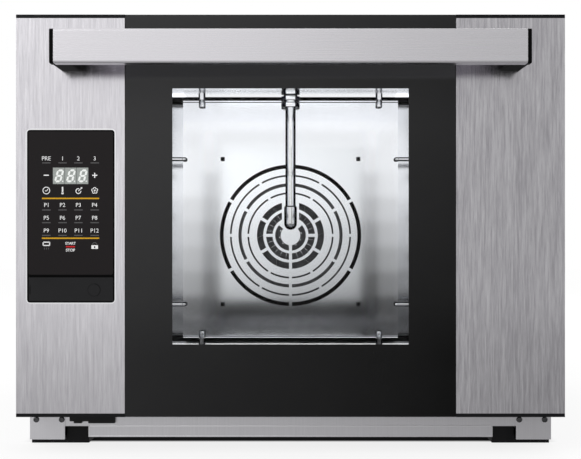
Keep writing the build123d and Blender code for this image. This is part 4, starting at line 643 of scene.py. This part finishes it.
for number in range(RIVETS):
    turn = number * 2 * pi / RIVETS + 0.2
    place = (RIVET_CIRCLE * cos(turn), HUB_FACE_Y, FAN_CENTRE_Z + RIVET_CIRCLE * sin(turn))
    lathe(form, RIVET_PROFILE, place, BACKWARDS, 12)
piece("hub_ribs", form, bright_chrome, "fan")
dark_steel = metal("dark_steel", (0.10, 0.10, 0.105), (0.06, 0.06, 0.065), (0.3, 0.5), rolled)
dress(dark_steel, "motor_shaft")

# Heated tube: bands of blue-black and brown scale.
heat_scale = two_noises("heat_scale", (30.0, 3.0, 0.6), (700.0, 2.0, 0.6), 0.7)
heater_tube = material("heater_tube", (0.13, 0.10, 0.085), (0.045, 0.045, 0.06), (0.35, 0.6), heat_scale,
                       bump=0.2, Metallic=0.8)
dress(heater_tube, "heating_element")

# Rear space
# Behind the chamber sit the fan motor, the flue, the water valve with its inlet
# thread, the power board, the cable gland and a small cooling fan.
cast = metal("cast_aluminium", (0.42, 0.42, 0.43), (0.28, 0.28, 0.29), (0.4, 0.6), rolled, bump=0.2)
dress(cast, "fan_motor")
soften(0.001, "fan_motor")
dress(satin_steel, "flue_pipe")
soften(0.0002, "flue_pipe")

# Moulded plastic: the fine texture of a spark-eroded mould.
moulded = two_noises("moulded_grain", (25.0, 3.0, 0.5), (1100.0, 2.0, 0.6), 0.5)
valve_plastic = material("valve_plastic", (0.62, 0.62, 0.60), (0.52, 0.52, 0.50), (0.35, 0.5), moulded,
                         bump=0.1)
dress(valve_plastic, "water_valve")
soften(0.0008, "water_valve")
hose = material("hose", (0.76, 0.76, 0.73), (0.66, 0.66, 0.63), (0.35, 0.5), moulded)
dress(hose, "feed_tube")
black_plastic = material("black_plastic", (0.008, 0.008, 0.009), (0.004, 0.004, 0.005), (0.38, 0.5), moulded,
                         bump=0.25, IOR=1.32)
dress(black_plastic, "cable_gland", "cooling_fan_frame", "cooling_fan_rotor")
soften(0.0005, "cable_gland")
soften(0.0005, "cooling_fan_frame", clamp=True)

INLET_X = -0.200
INLET_Z = 0.098
THREAD_ROOT = 0.0125
THREAD_CREST = 0.0133
THREAD_TURNS = 7
THREAD_PITCH = 0.0018
THREAD_PROFILE = ((THREAD_ROOT, -0.0007), (THREAD_CREST, -0.0002), (THREAD_CREST, 0.0002),
                  (THREAD_ROOT, 0.0007), (THREAD_ROOT, -0.0007))
form = bmesh.new()
for ring in range(THREAD_TURNS):
    y = REAR_FACE_Y + 0.002 + ring * THREAD_PITCH
    profile = [(radius, y + step) for radius, step in THREAD_PROFILE]
    lathe(form, profile, (INLET_X, 0.0, INLET_Z), BACKWARDS, 40)
piece("inlet_thread", form, valve_plastic, "cabinet")

# Circuit board: green lacquer over a grid of pale solder dots and tracks.
tracks, start, end = pattern_group("board_tracks")
dots = add_node(tracks, "ShaderNodeTexVoronoi", feature="F1", distance="EUCLIDEAN")
settle(dots, Scale=160.0, Randomness=0.55)
link(tracks, start, dots.inputs["Vector"])
lines = add_node(tracks, "ShaderNodeTexBrick")
settle(lines, Scale=60.0, Mortar_Size=0.06, Color1=(0, 0, 0, 1), Color2=(0, 0, 0, 1), Mortar=(1, 1, 1, 1))
link(tracks, start, lines.inputs["Vector"])
pads = spread(tracks, dots.outputs["Distance"], 0.12, 0.2, 1.0, 0.0)
shown = math_node(tracks, "MAXIMUM", pads, math_node(tracks, "MULTIPLY", lines.outputs["Color"], 0.35))
link(tracks, shown, end.inputs["Tone"])
link(tracks, shown, end.inputs["Height"])
board_green = material("circuit_board", (0.30, 0.36, 0.26), (0.012, 0.10, 0.035), (0.35, 0.25), tracks,
                       bump=0.2)
dress(board_green, "power_board")

# Hinges and stays
# The door hangs low on two steel hinges and is held at the sides by two curved
# stays that slide into slots in the front frame.
dress(dark_steel, "hinge_lugs", "hinge_blocks", "hinge_pins", "door_stays")
soften(0.0005, "hinge_lugs", "hinge_blocks", "door_stays")

# Door shell
# A folded black steel frame shows as a thin dark line over and under the two
# brushed stainless skins, which are folded down the door's sides.
black_metal = material("black_metal", (0.005, 0.005, 0.006), (0.003, 0.003, 0.004), (0.35, 0.5), moulded,
                       bump=0.15, IOR=1.25)
dress(black_metal, "door_frame")
skin_settings = dict(stretch=(520, 520, 26), bump=0.1, depth=0.0002)
fine_skin = metal("fine_skin", (0.79, 0.775, 0.81), (0.60, 0.585, 0.62), (0.16, 0.22), brushed,
                  **skin_settings)
dress(fine_skin, "door_skin_left")
coarse_skin = metal("coarse_skin", (0.87, 0.855, 0.89), (0.54, 0.525, 0.56), (0.16, 0.22), brushed,
                    **skin_settings)
dress(coarse_skin, "door_skin_right")
soften(0.0004, "door_skin_left", "door_skin_right")

# Door glass
# The outer pane has ground edges and a black border, printed on its face. The
# inner pane is clipped to a steel plate, which screws hold to the frame, and
# opens for cleaning.


def glass(name, tint):
    """Clear glass with a faint smear in its gloss."""
    made, tree, shader = new_finish(name)
    settle(shader, Base_Color=(*tint, 1.0), IOR=1.12, Transmission_Weight=1.0)
    place = add_node(tree, "ShaderNodeTexCoord")
    smear = noise(tree, place.outputs["Object"], 9.0, 3.0, 0.5)
    link(tree, spread(tree, smear, 0.4, 0.8, 0.0, 0.02), shader.inputs["Roughness"])
    return made


dress(glass("outer_glass", (0.99, 0.995, 0.995)), "door_outer_glass")
dress(glass("inner_glass", (0.995, 1.0, 1.0)), "door_inner_glass")


def rim_of(form, xs, zs, corner, y, steps=6):
    """The edges of an upright rectangle with round corners."""
    around = []
    centres = ((xs[1] - corner, zs[1] - corner), (xs[0] + corner, zs[1] - corner),
               (xs[0] + corner, zs[0] + corner), (xs[1] - corner, zs[0] + corner))
    for quarter, (x, z) in enumerate(centres):
        for step in range(steps + 1):
            turn = (quarter + step / steps) * pi / 2
            around.append(form.verts.new((x + corner * cos(turn), y, z + corner * sin(turn))))
    return [form.edges.new((around[place - 1], around[place])) for place in range(len(around))]


def flat_frame(form, outer, inner, depth):
    """A thin flat frame between two rims."""
    faces = bmesh.ops.bridge_loops(form, edges=outer + inner)["faces"]
    grown = bmesh.ops.extrude_face_region(form, geom=faces, use_keep_orig=True)
    moved = [part for part in grown["geom"] if isinstance(part, bmesh.types.BMVert)]
    bmesh.ops.translate(form, vec=(0, depth, 0), verts=moved)


# The print's colour is painted lighter to the upper left, a painted sheen, and a little greyer under the
# handle, painted light over the handle's shadow and mirror image.
PANE_HALF = 0.1804
PANE_Z = (0.0402, 0.4798)
WINDOW_HALF = 0.1291
WINDOW_Z = (0.1196, 0.3992)
PRINT_CORNER = 0.0005
PRINT_THICKNESS = 0.0001
black_print = material("black_print", (0.029, 0.029, 0.030), (0.001, 0.001, 0.001), (0.03, 0.05), rolled,
                       IOR=1.27)
tree = black_print.node_tree
across, _, height = axes_of(tree, "Object")
# Painted sheen: the print's colour grows lighter upwards and to the left.
from_below = spread(tree, height, 0.11, 0.41, 0.0, 0.56)
painted_sheen = math_node(tree, "ADD", from_below, spread(tree, across, -0.18, 0.18, 0.44, 0.0))
tone = weighed(tree, painted_sheen, tree.nodes["pattern"].outputs["Tone"], 0.93)
link(tree, tone, tree.nodes["tint"].inputs["Factor"])
# Painted light: a greyer band under the handle.
above_bottom = spread(tree, height, 0.4075, 0.4130, 0.0, 1.0, smooth=True)
below_top = spread(tree, height, 0.4260, 0.4290, 1.0, 0.0, smooth=True)
painted_over(black_print, math_node(tree, "MULTIPLY", above_bottom, below_top), (0.036, 0.036, 0.038))
print_front = DOOR_FACE_Y - PRINT_THICKNESS
form = bmesh.new()
pane_rim = rim_of(form, (-PANE_HALF, PANE_HALF), PANE_Z, PRINT_CORNER, print_front, 2)
window_rim = rim_of(form, (-WINDOW_HALF, WINDOW_HALF), WINDOW_Z, PRINT_CORNER, print_front, 2)
flat_frame(form, pane_rim, window_rim, PRINT_THICKNESS)
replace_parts(piece("border_print", form, black_print, "door"), "glass_border")

plate_steel = metal("plate_steel", (0.36, 0.355, 0.36), (0.30, 0.295, 0.30), (0.22, 0.32), rolled)
plate_face_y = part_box("door_liner")[1][1]
dress(plate_steel, "door_liner")
dress(satin_steel, "glass_clips")
soften(0.0004, "door_liner", "glass_clips")
form = bmesh.new()
screws_round(form, (-0.2555, -0.085, 0.085, 0.2555), (0.0725, 0.4485), (0.20, 0.33), plate_face_y,
             radius=0.003, height=0.0012, shank=0.0015)
piece("door_plate_screws", form, screw_steel, "door")

# Light bars
# Two aluminium bars behind the printed border carry strips of small lamps that
# light the chamber through the inner pane.
aluminium = metal("aluminium", (0.62, 0.62, 0.63), (0.54, 0.54, 0.55), (0.3, 0.42), brushed,
                  stretch=UPRIGHT_GRAIN, bump=0.1)
dress(aluminium, "led_bars")
soften(0.0004, "led_bars")
LIGHT_BAR_X = 0.148
CHANNEL_FLOOR_Y = -0.2506
STRIP_HALF = 0.0037
STRIP_Z = (0.1225, 0.3965)
STRIP_DEPTHS = (CHANNEL_FLOOR_Y, CHANNEL_FLOOR_Y + 0.0006)
LAMP_HALF = 0.0025
LAMP_PITCH = 0.016
LAMPS_EACH_WAY = 8
LAMP_DEPTHS = (CHANNEL_FLOOR_Y + 0.00055, CHANNEL_FLOOR_Y + 0.00145)
strip_white = material("lamp_strip", (0.75, 0.75, 0.73), (0.62, 0.62, 0.60), (0.4, 0.5), tracks)
lamp_yellow = material("lamp_face", (0.72, 0.62, 0.18), (0.60, 0.50, 0.12), (0.3, 0.4), rolled)
strips = bmesh.new()
lamps = bmesh.new()
for x in (-LIGHT_BAR_X, LIGHT_BAR_X):
    plate(strips, (x - STRIP_HALF, x + STRIP_HALF), STRIP_Z, *STRIP_DEPTHS)
    for number in range(-LAMPS_EACH_WAY, LAMPS_EACH_WAY + 1):
        z = sum(STRIP_Z) / 2 + number * LAMP_PITCH
        plate(lamps, (x - LAMP_HALF, x + LAMP_HALF), (z - LAMP_HALF, z + LAMP_HALF), *LAMP_DEPTHS)
break_edges(strips, 0.0001)
piece("lamp_strips", strips, strip_white, "door")
break_edges(lamps, 0.0002)
piece("strip_lamps", lamps, lamp_yellow, "door")

# Handle
# A wide box bar of brushed stainless steel with black moulded ends, which are
# screwed to the door from inside. Its colour is painted lighter to the right, a painted shading.
HANDLE_PAINTED_SHADING = (-0.25, 0.25)
brushed_bar = metal("brushed_bar", (0.85, 0.835, 0.87), (0.685, 0.67, 0.70), (0.22, 0.32), brushed,
                    stretch=LEVEL_GRAIN, bump=0.1, depth=0.0002)
tree = brushed_bar.node_tree
across, _, _ = axes_of(tree, "Object")
# Painted shading: the bar's colour grows lighter from left to right.
painted_shading = spread(tree, across, *HANDLE_PAINTED_SHADING, 0.0, 1.0)
tone = weighed(tree, painted_shading, tree.nodes["pattern"].outputs["Tone"], 0.94)
link(tree, tone, tree.nodes["tint"].inputs["Factor"])
dress(brushed_bar, "handle_bar")
deep_black = material("deep_black", (0.002, 0.002, 0.002), (0.001, 0.001, 0.001), (0.5, 0.6), moulded,
                      bump=0.1, IOR=1.12)
dress(deep_black, "handle_ends")
soften(0.0004, "handle_bar")
soften(0.0006, "handle_ends", clamp=True)

# Control box
# A black moulded box in the left skin holds a touch glass, a three-digit display,
# the key board and a small hinged service cover. The skin's cut edge is a bright
# chrome rim round the box, partly a painted highlight.
box_low, box_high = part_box("control_housing")
PANEL_FACE_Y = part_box("control_glass")[0][1]
dress(deep_black, "control_housing")
dress(black_plastic, "port_cover")
soften(0.0004, "control_housing", "port_cover", clamp=True)
dress(board_green, "control_board")
# A bright chrome rim laid over the skin round the box: the cut edge, partly a painted highlight.
form = bmesh.new()
rims = []
for out in (0.0015, 0.0001):
    xs = (box_low[0] - out, box_high[0] + out)
    zs = (box_low[2] - out, box_high[2] + out)
    rims.append(rim_of(form, xs, zs, 0.004 + out, DOOR_FACE_Y - 0.0002))
flat_frame(form, *rims, 0.0004)
piece("skin_edge_highlight", form, bright_chrome, "door")
touch_black = material("touch_glass", (0.0045, 0.0025, 0.003), (0.0035, 0.002, 0.0025), (0.16, 0.20), rolled,
                       IOR=1.3)
dress(touch_black, "control_glass", "display_module")
soften(0.0003, "control_glass", clamp=True)

# The display's face: three grey-green cells, parted by dark lines, with pale
# slanted digits.
MARK_DEPTH = 0.00006
MARK_FRONT = PANEL_FACE_Y - MARK_DEPTH
display_low, display_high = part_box("display_module")
DISPLAY_Z = (display_low[2], display_high[2])
CELL_WIDTH = (display_high[0] - display_low[0]) / 3
LINE_HALF = 0.0004


def slab_of(form, outline, front, back):
    """A thin plate from the corners of its outline, given as X and Z pairs."""
    rim = [form.verts.new((x, back, z)) for x, z in outline]
    face = form.faces.new(rim)
    grown = bmesh.ops.extrude_face_region(form, geom=[face], use_keep_orig=True)
    moved = [part for part in grown["geom"] if isinstance(part, bmesh.types.BMVert)]
    bmesh.ops.translate(form, vec=(0, front - back, 0), verts=moved)


display_grey = material("display_grey", (0.30, 0.32, 0.305), (0.25, 0.27, 0.255), (0.25, 0.35), rolled)
display_line = material("display_line", (0.13, 0.14, 0.135), (0.11, 0.12, 0.115), (0.25, 0.35), rolled)
cells = bmesh.new()
cell_lines = bmesh.new()
for cell in range(3):
    left = display_low[0] + cell * CELL_WIDTH
    right = left + CELL_WIDTH
    if cell > 0:
        plate(cell_lines, (left - LINE_HALF, left + LINE_HALF), DISPLAY_Z, MARK_FRONT, PANEL_FACE_Y)
        left += LINE_HALF
    if cell < 2:
        right -= LINE_HALF
    plate(cells, (left, right), DISPLAY_Z, MARK_FRONT, PANEL_FACE_Y)
piece("display_cells", cells, display_grey, "door")
piece("display_lines", cell_lines, display_line, "door")

DIGIT_HALF_WIDTH = 0.0039
DIGIT_HALF_HEIGHT = 0.00705
DIGIT_HALF_STROKE = 0.0011
DIGIT_SLANT = 0.27
DIGIT_PLACE = 0.53
SEGMENT_GAP = 0.00025
POINT_RADIUS = 0.0008
POINT_BESIDE = 0.0016


def segment_outline(x, z, reach, upright):
    """The six corners of one of a digit's bars, pointed at both ends."""
    half = DIGIT_HALF_STROKE
    corners = [(-reach, 0), (half - reach, half), (reach - half, half), (reach, 0), (reach - half, -half),
               (half - reach, -half)]
    return [(x + aside, z + along) if upright else (x + along, z + aside) for along, aside in corners]


bar_x = DIGIT_HALF_WIDTH - DIGIT_HALF_STROKE
bar_z = (DIGIT_HALF_HEIGHT - DIGIT_HALF_STROKE) / 2
digit = [segment_outline(0, z, bar_x - SEGMENT_GAP, upright=False) for z in (-2 * bar_z, 0, 2 * bar_z)]
for z in (-bar_z, bar_z):
    digit += [segment_outline(x, z, bar_z - SEGMENT_GAP, upright=True) for x in (-bar_x, bar_x)]
digit.append([(DIGIT_HALF_WIDTH + POINT_BESIDE + POINT_RADIUS * cos(step * pi / 4),
               -2 * bar_z + POINT_RADIUS * sin(step * pi / 4)) for step in range(8)])
display_white = material("display_white", (0.80, 0.82, 0.80), (0.72, 0.74, 0.72), (0.3, 0.4), rolled)
form = bmesh.new()
for cell in range(3):
    middle_x = display_low[0] + (cell + DIGIT_PLACE) * CELL_WIDTH
    middle_z = sum(DISPLAY_Z) / 2
    for shape in digit:
        slanted = [(middle_x + x + z * DIGIT_SLANT, middle_z + z) for x, z in shape]
        slab_of(form, slanted, MARK_FRONT - MARK_DEPTH, MARK_FRONT)
piece("display_digits", form, display_white, "door")

# Panel marks
# Key names and small icons are printed on the touch glass in white, with grey
# bars under the keys, two gold rules and a red bar between START and STOP.
KEY_COLUMNS = (-0.2667, -0.2490, -0.2317, -0.2139)
CAP_HEIGHT = 0.0043
KEY_LABELS = (
    (0.3227, ("PRE", "1", "2", "3")),
    (0.2719, ("P1", "P2", "P3", "P4")),
    (0.2578, ("P5", "P6", "P7", "P8")),
    (0.2439, ("P9", "P10", "P11", "P12")),
)


def lettering(form, words, middle, height, weight=0.0):
    """Flat raised letters on the touch glass, centred on a place and set to a height."""
    curve = bpy.data.curves.new("lettering", "FONT")
    curve.body = words
    curve.align_x = "CENTER"
    curve.offset = weight
    curve.extrude = 0.5
    text = bpy.data.objects.new("lettering", curve)
    flat = bpy.data.meshes.new_from_object(text)
    before = len(form.verts)
    form.from_mesh(flat)
    form.verts.ensure_lookup_table()
    fresh = form.verts[before:]
    low = Vector((min(v.co.x for v in fresh), min(v.co.y for v in fresh)))
    high = Vector((max(v.co.x for v in fresh), max(v.co.y for v in fresh)))
    size = height / (high.y - low.y)
    for vert in fresh:
        x = (vert.co.x - (low.x + high.x) / 2) * size + middle[0]
        z = (vert.co.y - (low.y + high.y) / 2) * size + middle[1]
        vert.co = (x, MARK_FRONT if vert.co.z > 0 else PANEL_FACE_Y, z)
    bpy.data.objects.remove(text)
    bpy.data.meshes.remove(flat)
    bpy.data.curves.remove(curve)


def ring_mark(form, middle, radius, stroke, first=0.0, span=360.0, steps=32):
    """A flat ring or arc on the touch glass, from a first angle through a span, in degrees."""
    side = Vector((cos(radians(first)), 0, sin(radians(first))))
    centre = Vector((middle[0], 0, middle[1]))
    inner, outer = radius - stroke / 2, radius + stroke / 2
    corners = ((inner, PANEL_FACE_Y), (outer, PANEL_FACE_Y), (outer, MARK_FRONT), (inner, MARK_FRONT))
    rim = [form.verts.new(centre + side * reach + Vector((0, depth, 0))) for reach, depth in corners]
    if span == 360.0:
        loop = [form.edges.new((rim[number], rim[(number + 1) % 4])) for number in range(4)]
        bmesh.ops.spin(form, geom=rim + loop, cent=centre, axis=(0, -1, 0), angle=2 * pi, steps=steps,
                       use_merge=True)
    else:
        bmesh.ops.spin(form, geom=[form.faces.new(rim)], cent=centre, axis=(0, -1, 0), angle=radians(span),
                       steps=max(4, int(steps * span / 360)), use_merge=False)


def stroke_mark(form, start, end, width):
    """A straight flat line on the touch glass."""
    start, end = Vector(start), Vector(end)
    across = (end - start).normalized().orthogonal() * width / 2
    slab_of(form, [start + across, start - across, end - across, end + across], MARK_FRONT, PANEL_FACE_Y)


def block_mark(form, middle, width, height):
    """A flat rectangle on the touch glass."""
    x, z = middle
    plate(form, (x - width / 2, x + width / 2), (z - height / 2, z + height / 2), MARK_FRONT, PANEL_FACE_Y)


def beside(middle, across, up):
    return middle[0] + across, middle[1] + up


white_print = material("white_print", (0.78, 0.78, 0.78), (0.66, 0.66, 0.66), (0.4, 0.5), rolled)
grey_print = material("grey_print", (0.058, 0.056, 0.058), (0.046, 0.044, 0.046), (0.3, 0.4), rolled)
gold_print = material("gold_print", (0.56, 0.31, 0.010), (0.48, 0.26, 0.007), (0.35, 0.45), rolled, IOR=1.25)
red_print = material("red_print", (0.52, 0.008, 0.012), (0.44, 0.006, 0.008), (0.35, 0.45), rolled, IOR=1.25)

MINUS = (-0.2668, 0.3043)
PLUS = (-0.2139, 0.3042)
SIGN_LENGTH = 0.0056
SIGN_STROKE = 0.0012
START_KEY_X = -0.2403
form = bmesh.new()
for z, labels in KEY_LABELS:
    for x, words in zip(KEY_COLUMNS, labels):
        lettering(form, words, (x, z), CAP_HEIGHT)
lettering(form, "START", (START_KEY_X, 0.2299), 0.0029, 0.02)
lettering(form, "STOP", (START_KEY_X, 0.2225), 0.0031, 0.02)
for sign in (MINUS, PLUS):
    stroke_mark(form, beside(sign, -SIGN_LENGTH / 2, 0), beside(sign, SIGN_LENGTH / 2, 0), SIGN_STROKE)
block_mark(form, PLUS, SIGN_STROKE, SIGN_LENGTH)
piece("panel_words", form, white_print, "door")

clock, thermometer, steam, fan_sign = [(x, 0.2876) for x in KEY_COLUMNS]
OVEN_SIGN = (-0.2666, 0.2290)
OVEN_CORNERS = ((-0.0035, -0.0014), (0.0035, -0.0014), (0.0035, 0.0022), (-0.0035, 0.0022))
LOCK = (-0.2139, 0.2259)
LOCK_BLOCKS = ((-0.00215, 0.0, 0.0029, 0.0040), (0.00215, 0.0, 0.0029, 0.0040),
               (0.0, 0.0015, 0.0014, 0.0010), (0.0, -0.0016, 0.0014, 0.0008))
form = bmesh.new()
# A clock with two hands.
ring_mark(form, clock, 0.0037, 0.0008)
stroke_mark(form, beside(clock, -0.0014, 0.0002), beside(clock, -0.0002, -0.0010), 0.0007)
stroke_mark(form, beside(clock, -0.0003, -0.0010), beside(clock, 0.0018, 0.0016), 0.0007)
# A thermometer: a stem over a bulb.
stroke_mark(form, beside(thermometer, 0, -0.0022), beside(thermometer, 0, 0.0040), 0.0016)
ring_mark(form, beside(thermometer, 0, -0.0028), 0.0008, 0.0010, steps=16)
# Steam: an open ring with a drop leaving it.
ring_mark(form, beside(steam, 0, -0.0006), 0.0027, 0.0009, first=75.0, span=290.0)
stroke_mark(form, beside(steam, 0, -0.0006), beside(steam, 0.0030, 0.0024), 0.0008)
ring_mark(form, beside(steam, 0.0034, 0.0028), 0.0005, 0.0009, steps=16)
# A fan: a hub with five curved blades.
ring_mark(form, fan_sign, 0.0006, 0.0008, steps=16)
for blade in range(5):
    turn = blade * 72.0 + 20.0
    middle = beside(fan_sign, 0.0019 * cos(radians(turn)), 0.0019 * sin(radians(turn)))
    ring_mark(form, middle, 0.0014, 0.0008, first=turn - 60.0, span=170.0)
# An oven: its outline, over three lines of steam in grey.
outline = [beside(OVEN_SIGN, *corner) for corner in OVEN_CORNERS]
for number in range(4):
    stroke_mark(form, outline[number], outline[(number + 1) % 4], 0.0011)
# A padlock: a body with a keyhole left clear, under a shackle in grey.
for across, up, width, height in LOCK_BLOCKS:
    block_mark(form, beside(LOCK, across, up), width, height)
piece("panel_icons", form, white_print, "door")

form = bmesh.new()
for z in (0.3178, 0.2664, 0.2525, 0.2386):
    for x in KEY_COLUMNS:
        block_mark(form, (x, z), 0.0092, 0.0012)
for shift in (-0.0022, 0.0, 0.0022):
    block_mark(form, (OVEN_SIGN[0] + shift, 0.2242), 0.0008, 0.0020)
ring_mark(form, beside(LOCK, 0, 0.0026), 0.0023, 0.0008, first=0.0, span=180.0)
piece("panel_grey_marks", form, grey_print, "door")

form = bmesh.new()
for z in (0.2790, 0.2355):
    block_mark(form, (-0.24025, z), 0.0625, 0.0015)
piece("panel_gold_rules", form, gold_print, "door")
form = bmesh.new()
block_mark(form, (-0.24035, 0.22625), 0.0099, 0.0015)
piece("panel_red_bar", form, red_print, "door")

# The service cover's moulded marks: an upright slit at its hinge and a ring
# where a finger presses to open it, bolder on its right half.
FINGER_RING = (-0.2146, 0.1789)
FINGER_RADIUS = 0.0068
form = bmesh.new()
block_mark(form, (-0.2846, 0.1791), 0.0008, 0.0098)
ring_mark(form, FINGER_RING, FINGER_RADIUS, 0.0006, first=-62.0, span=150.0)
ring_mark(form, FINGER_RING, FINGER_RADIUS, 0.0003, first=88.0, span=210.0)
piece("service_cover_marks", form, deep_black, "service_cover")

# Wiring cover
# A black moulding under the door covers the place where the door's wires leave
# the base.
dress(black_plastic, "harness_cover")
soften(0.0006, "harness_cover")

# Chamber light
# Soft lights hidden in the chamber's mouth stand for the oven's own lamps. One
# lies over the window, and a row on each side fades towards the bottom. Two thin
# ones light the gaps over and under the fan guard.
MOUTH_Y = -0.210
CHAMBER_WIDTH = 0.46
GAP_LAMPS = (("upper_gap_lamp", 0.43825, 0.0055, 0.0080), ("lower_gap_lamp", 0.0876, 0.0024, 0.0070))
lamp("chamber_lamp", (0.0, MOUTH_Y, 0.4175), (0.0, 1.0, 0.4175), (CHAMBER_WIDTH, 0.047), 0.062)
for name, z, tall, power in GAP_LAMPS:
    gap_lamp = lamp(name, (0.0, GUARD_PLATE_Y + 0.004, z), (0.0, -1.0, z), (CHAMBER_WIDTH, tall), power)
    gap_lamp.visible_transmission = False
    gap_lamp.visible_diffuse = False

# Each side has a narrow strip beside the window and a wider one further out,
# whose glow is given from the top row to the bottom one.
SIDE_ROW_HEIGHT = 0.044
SIDE_ROWS_TOP = 0.394
SIDE_STRIPS = (
    (-0.1405, 0.029, (0.85, 0.60, 0.46, 0.33, 0.24, 0.12, 0.03)),
    (-0.1970, 0.084, (0.96, 0.95, 0.77, 0.64, 0.51, 0.37, 0.14)),
    (0.1405, 0.029, (0.80, 0.58, 0.42, 0.25, 0.14, 0.05, 0.01)),
    (0.1970, 0.084, (0.92, 0.84, 0.66, 0.52, 0.36, 0.22, 0.07)),
)
for x, width, glows in SIDE_STRIPS:
    for row, brightness in enumerate(glows):
        z = SIDE_ROWS_TOP - (row + 0.5) * SIDE_ROW_HEIGHT
        power = pi * width * SIDE_ROW_HEIGHT * brightness
        lamp("side_lamp", (x, MOUTH_Y, z), (x, 1.0, z), (width, SIDE_ROW_HEIGHT), power)
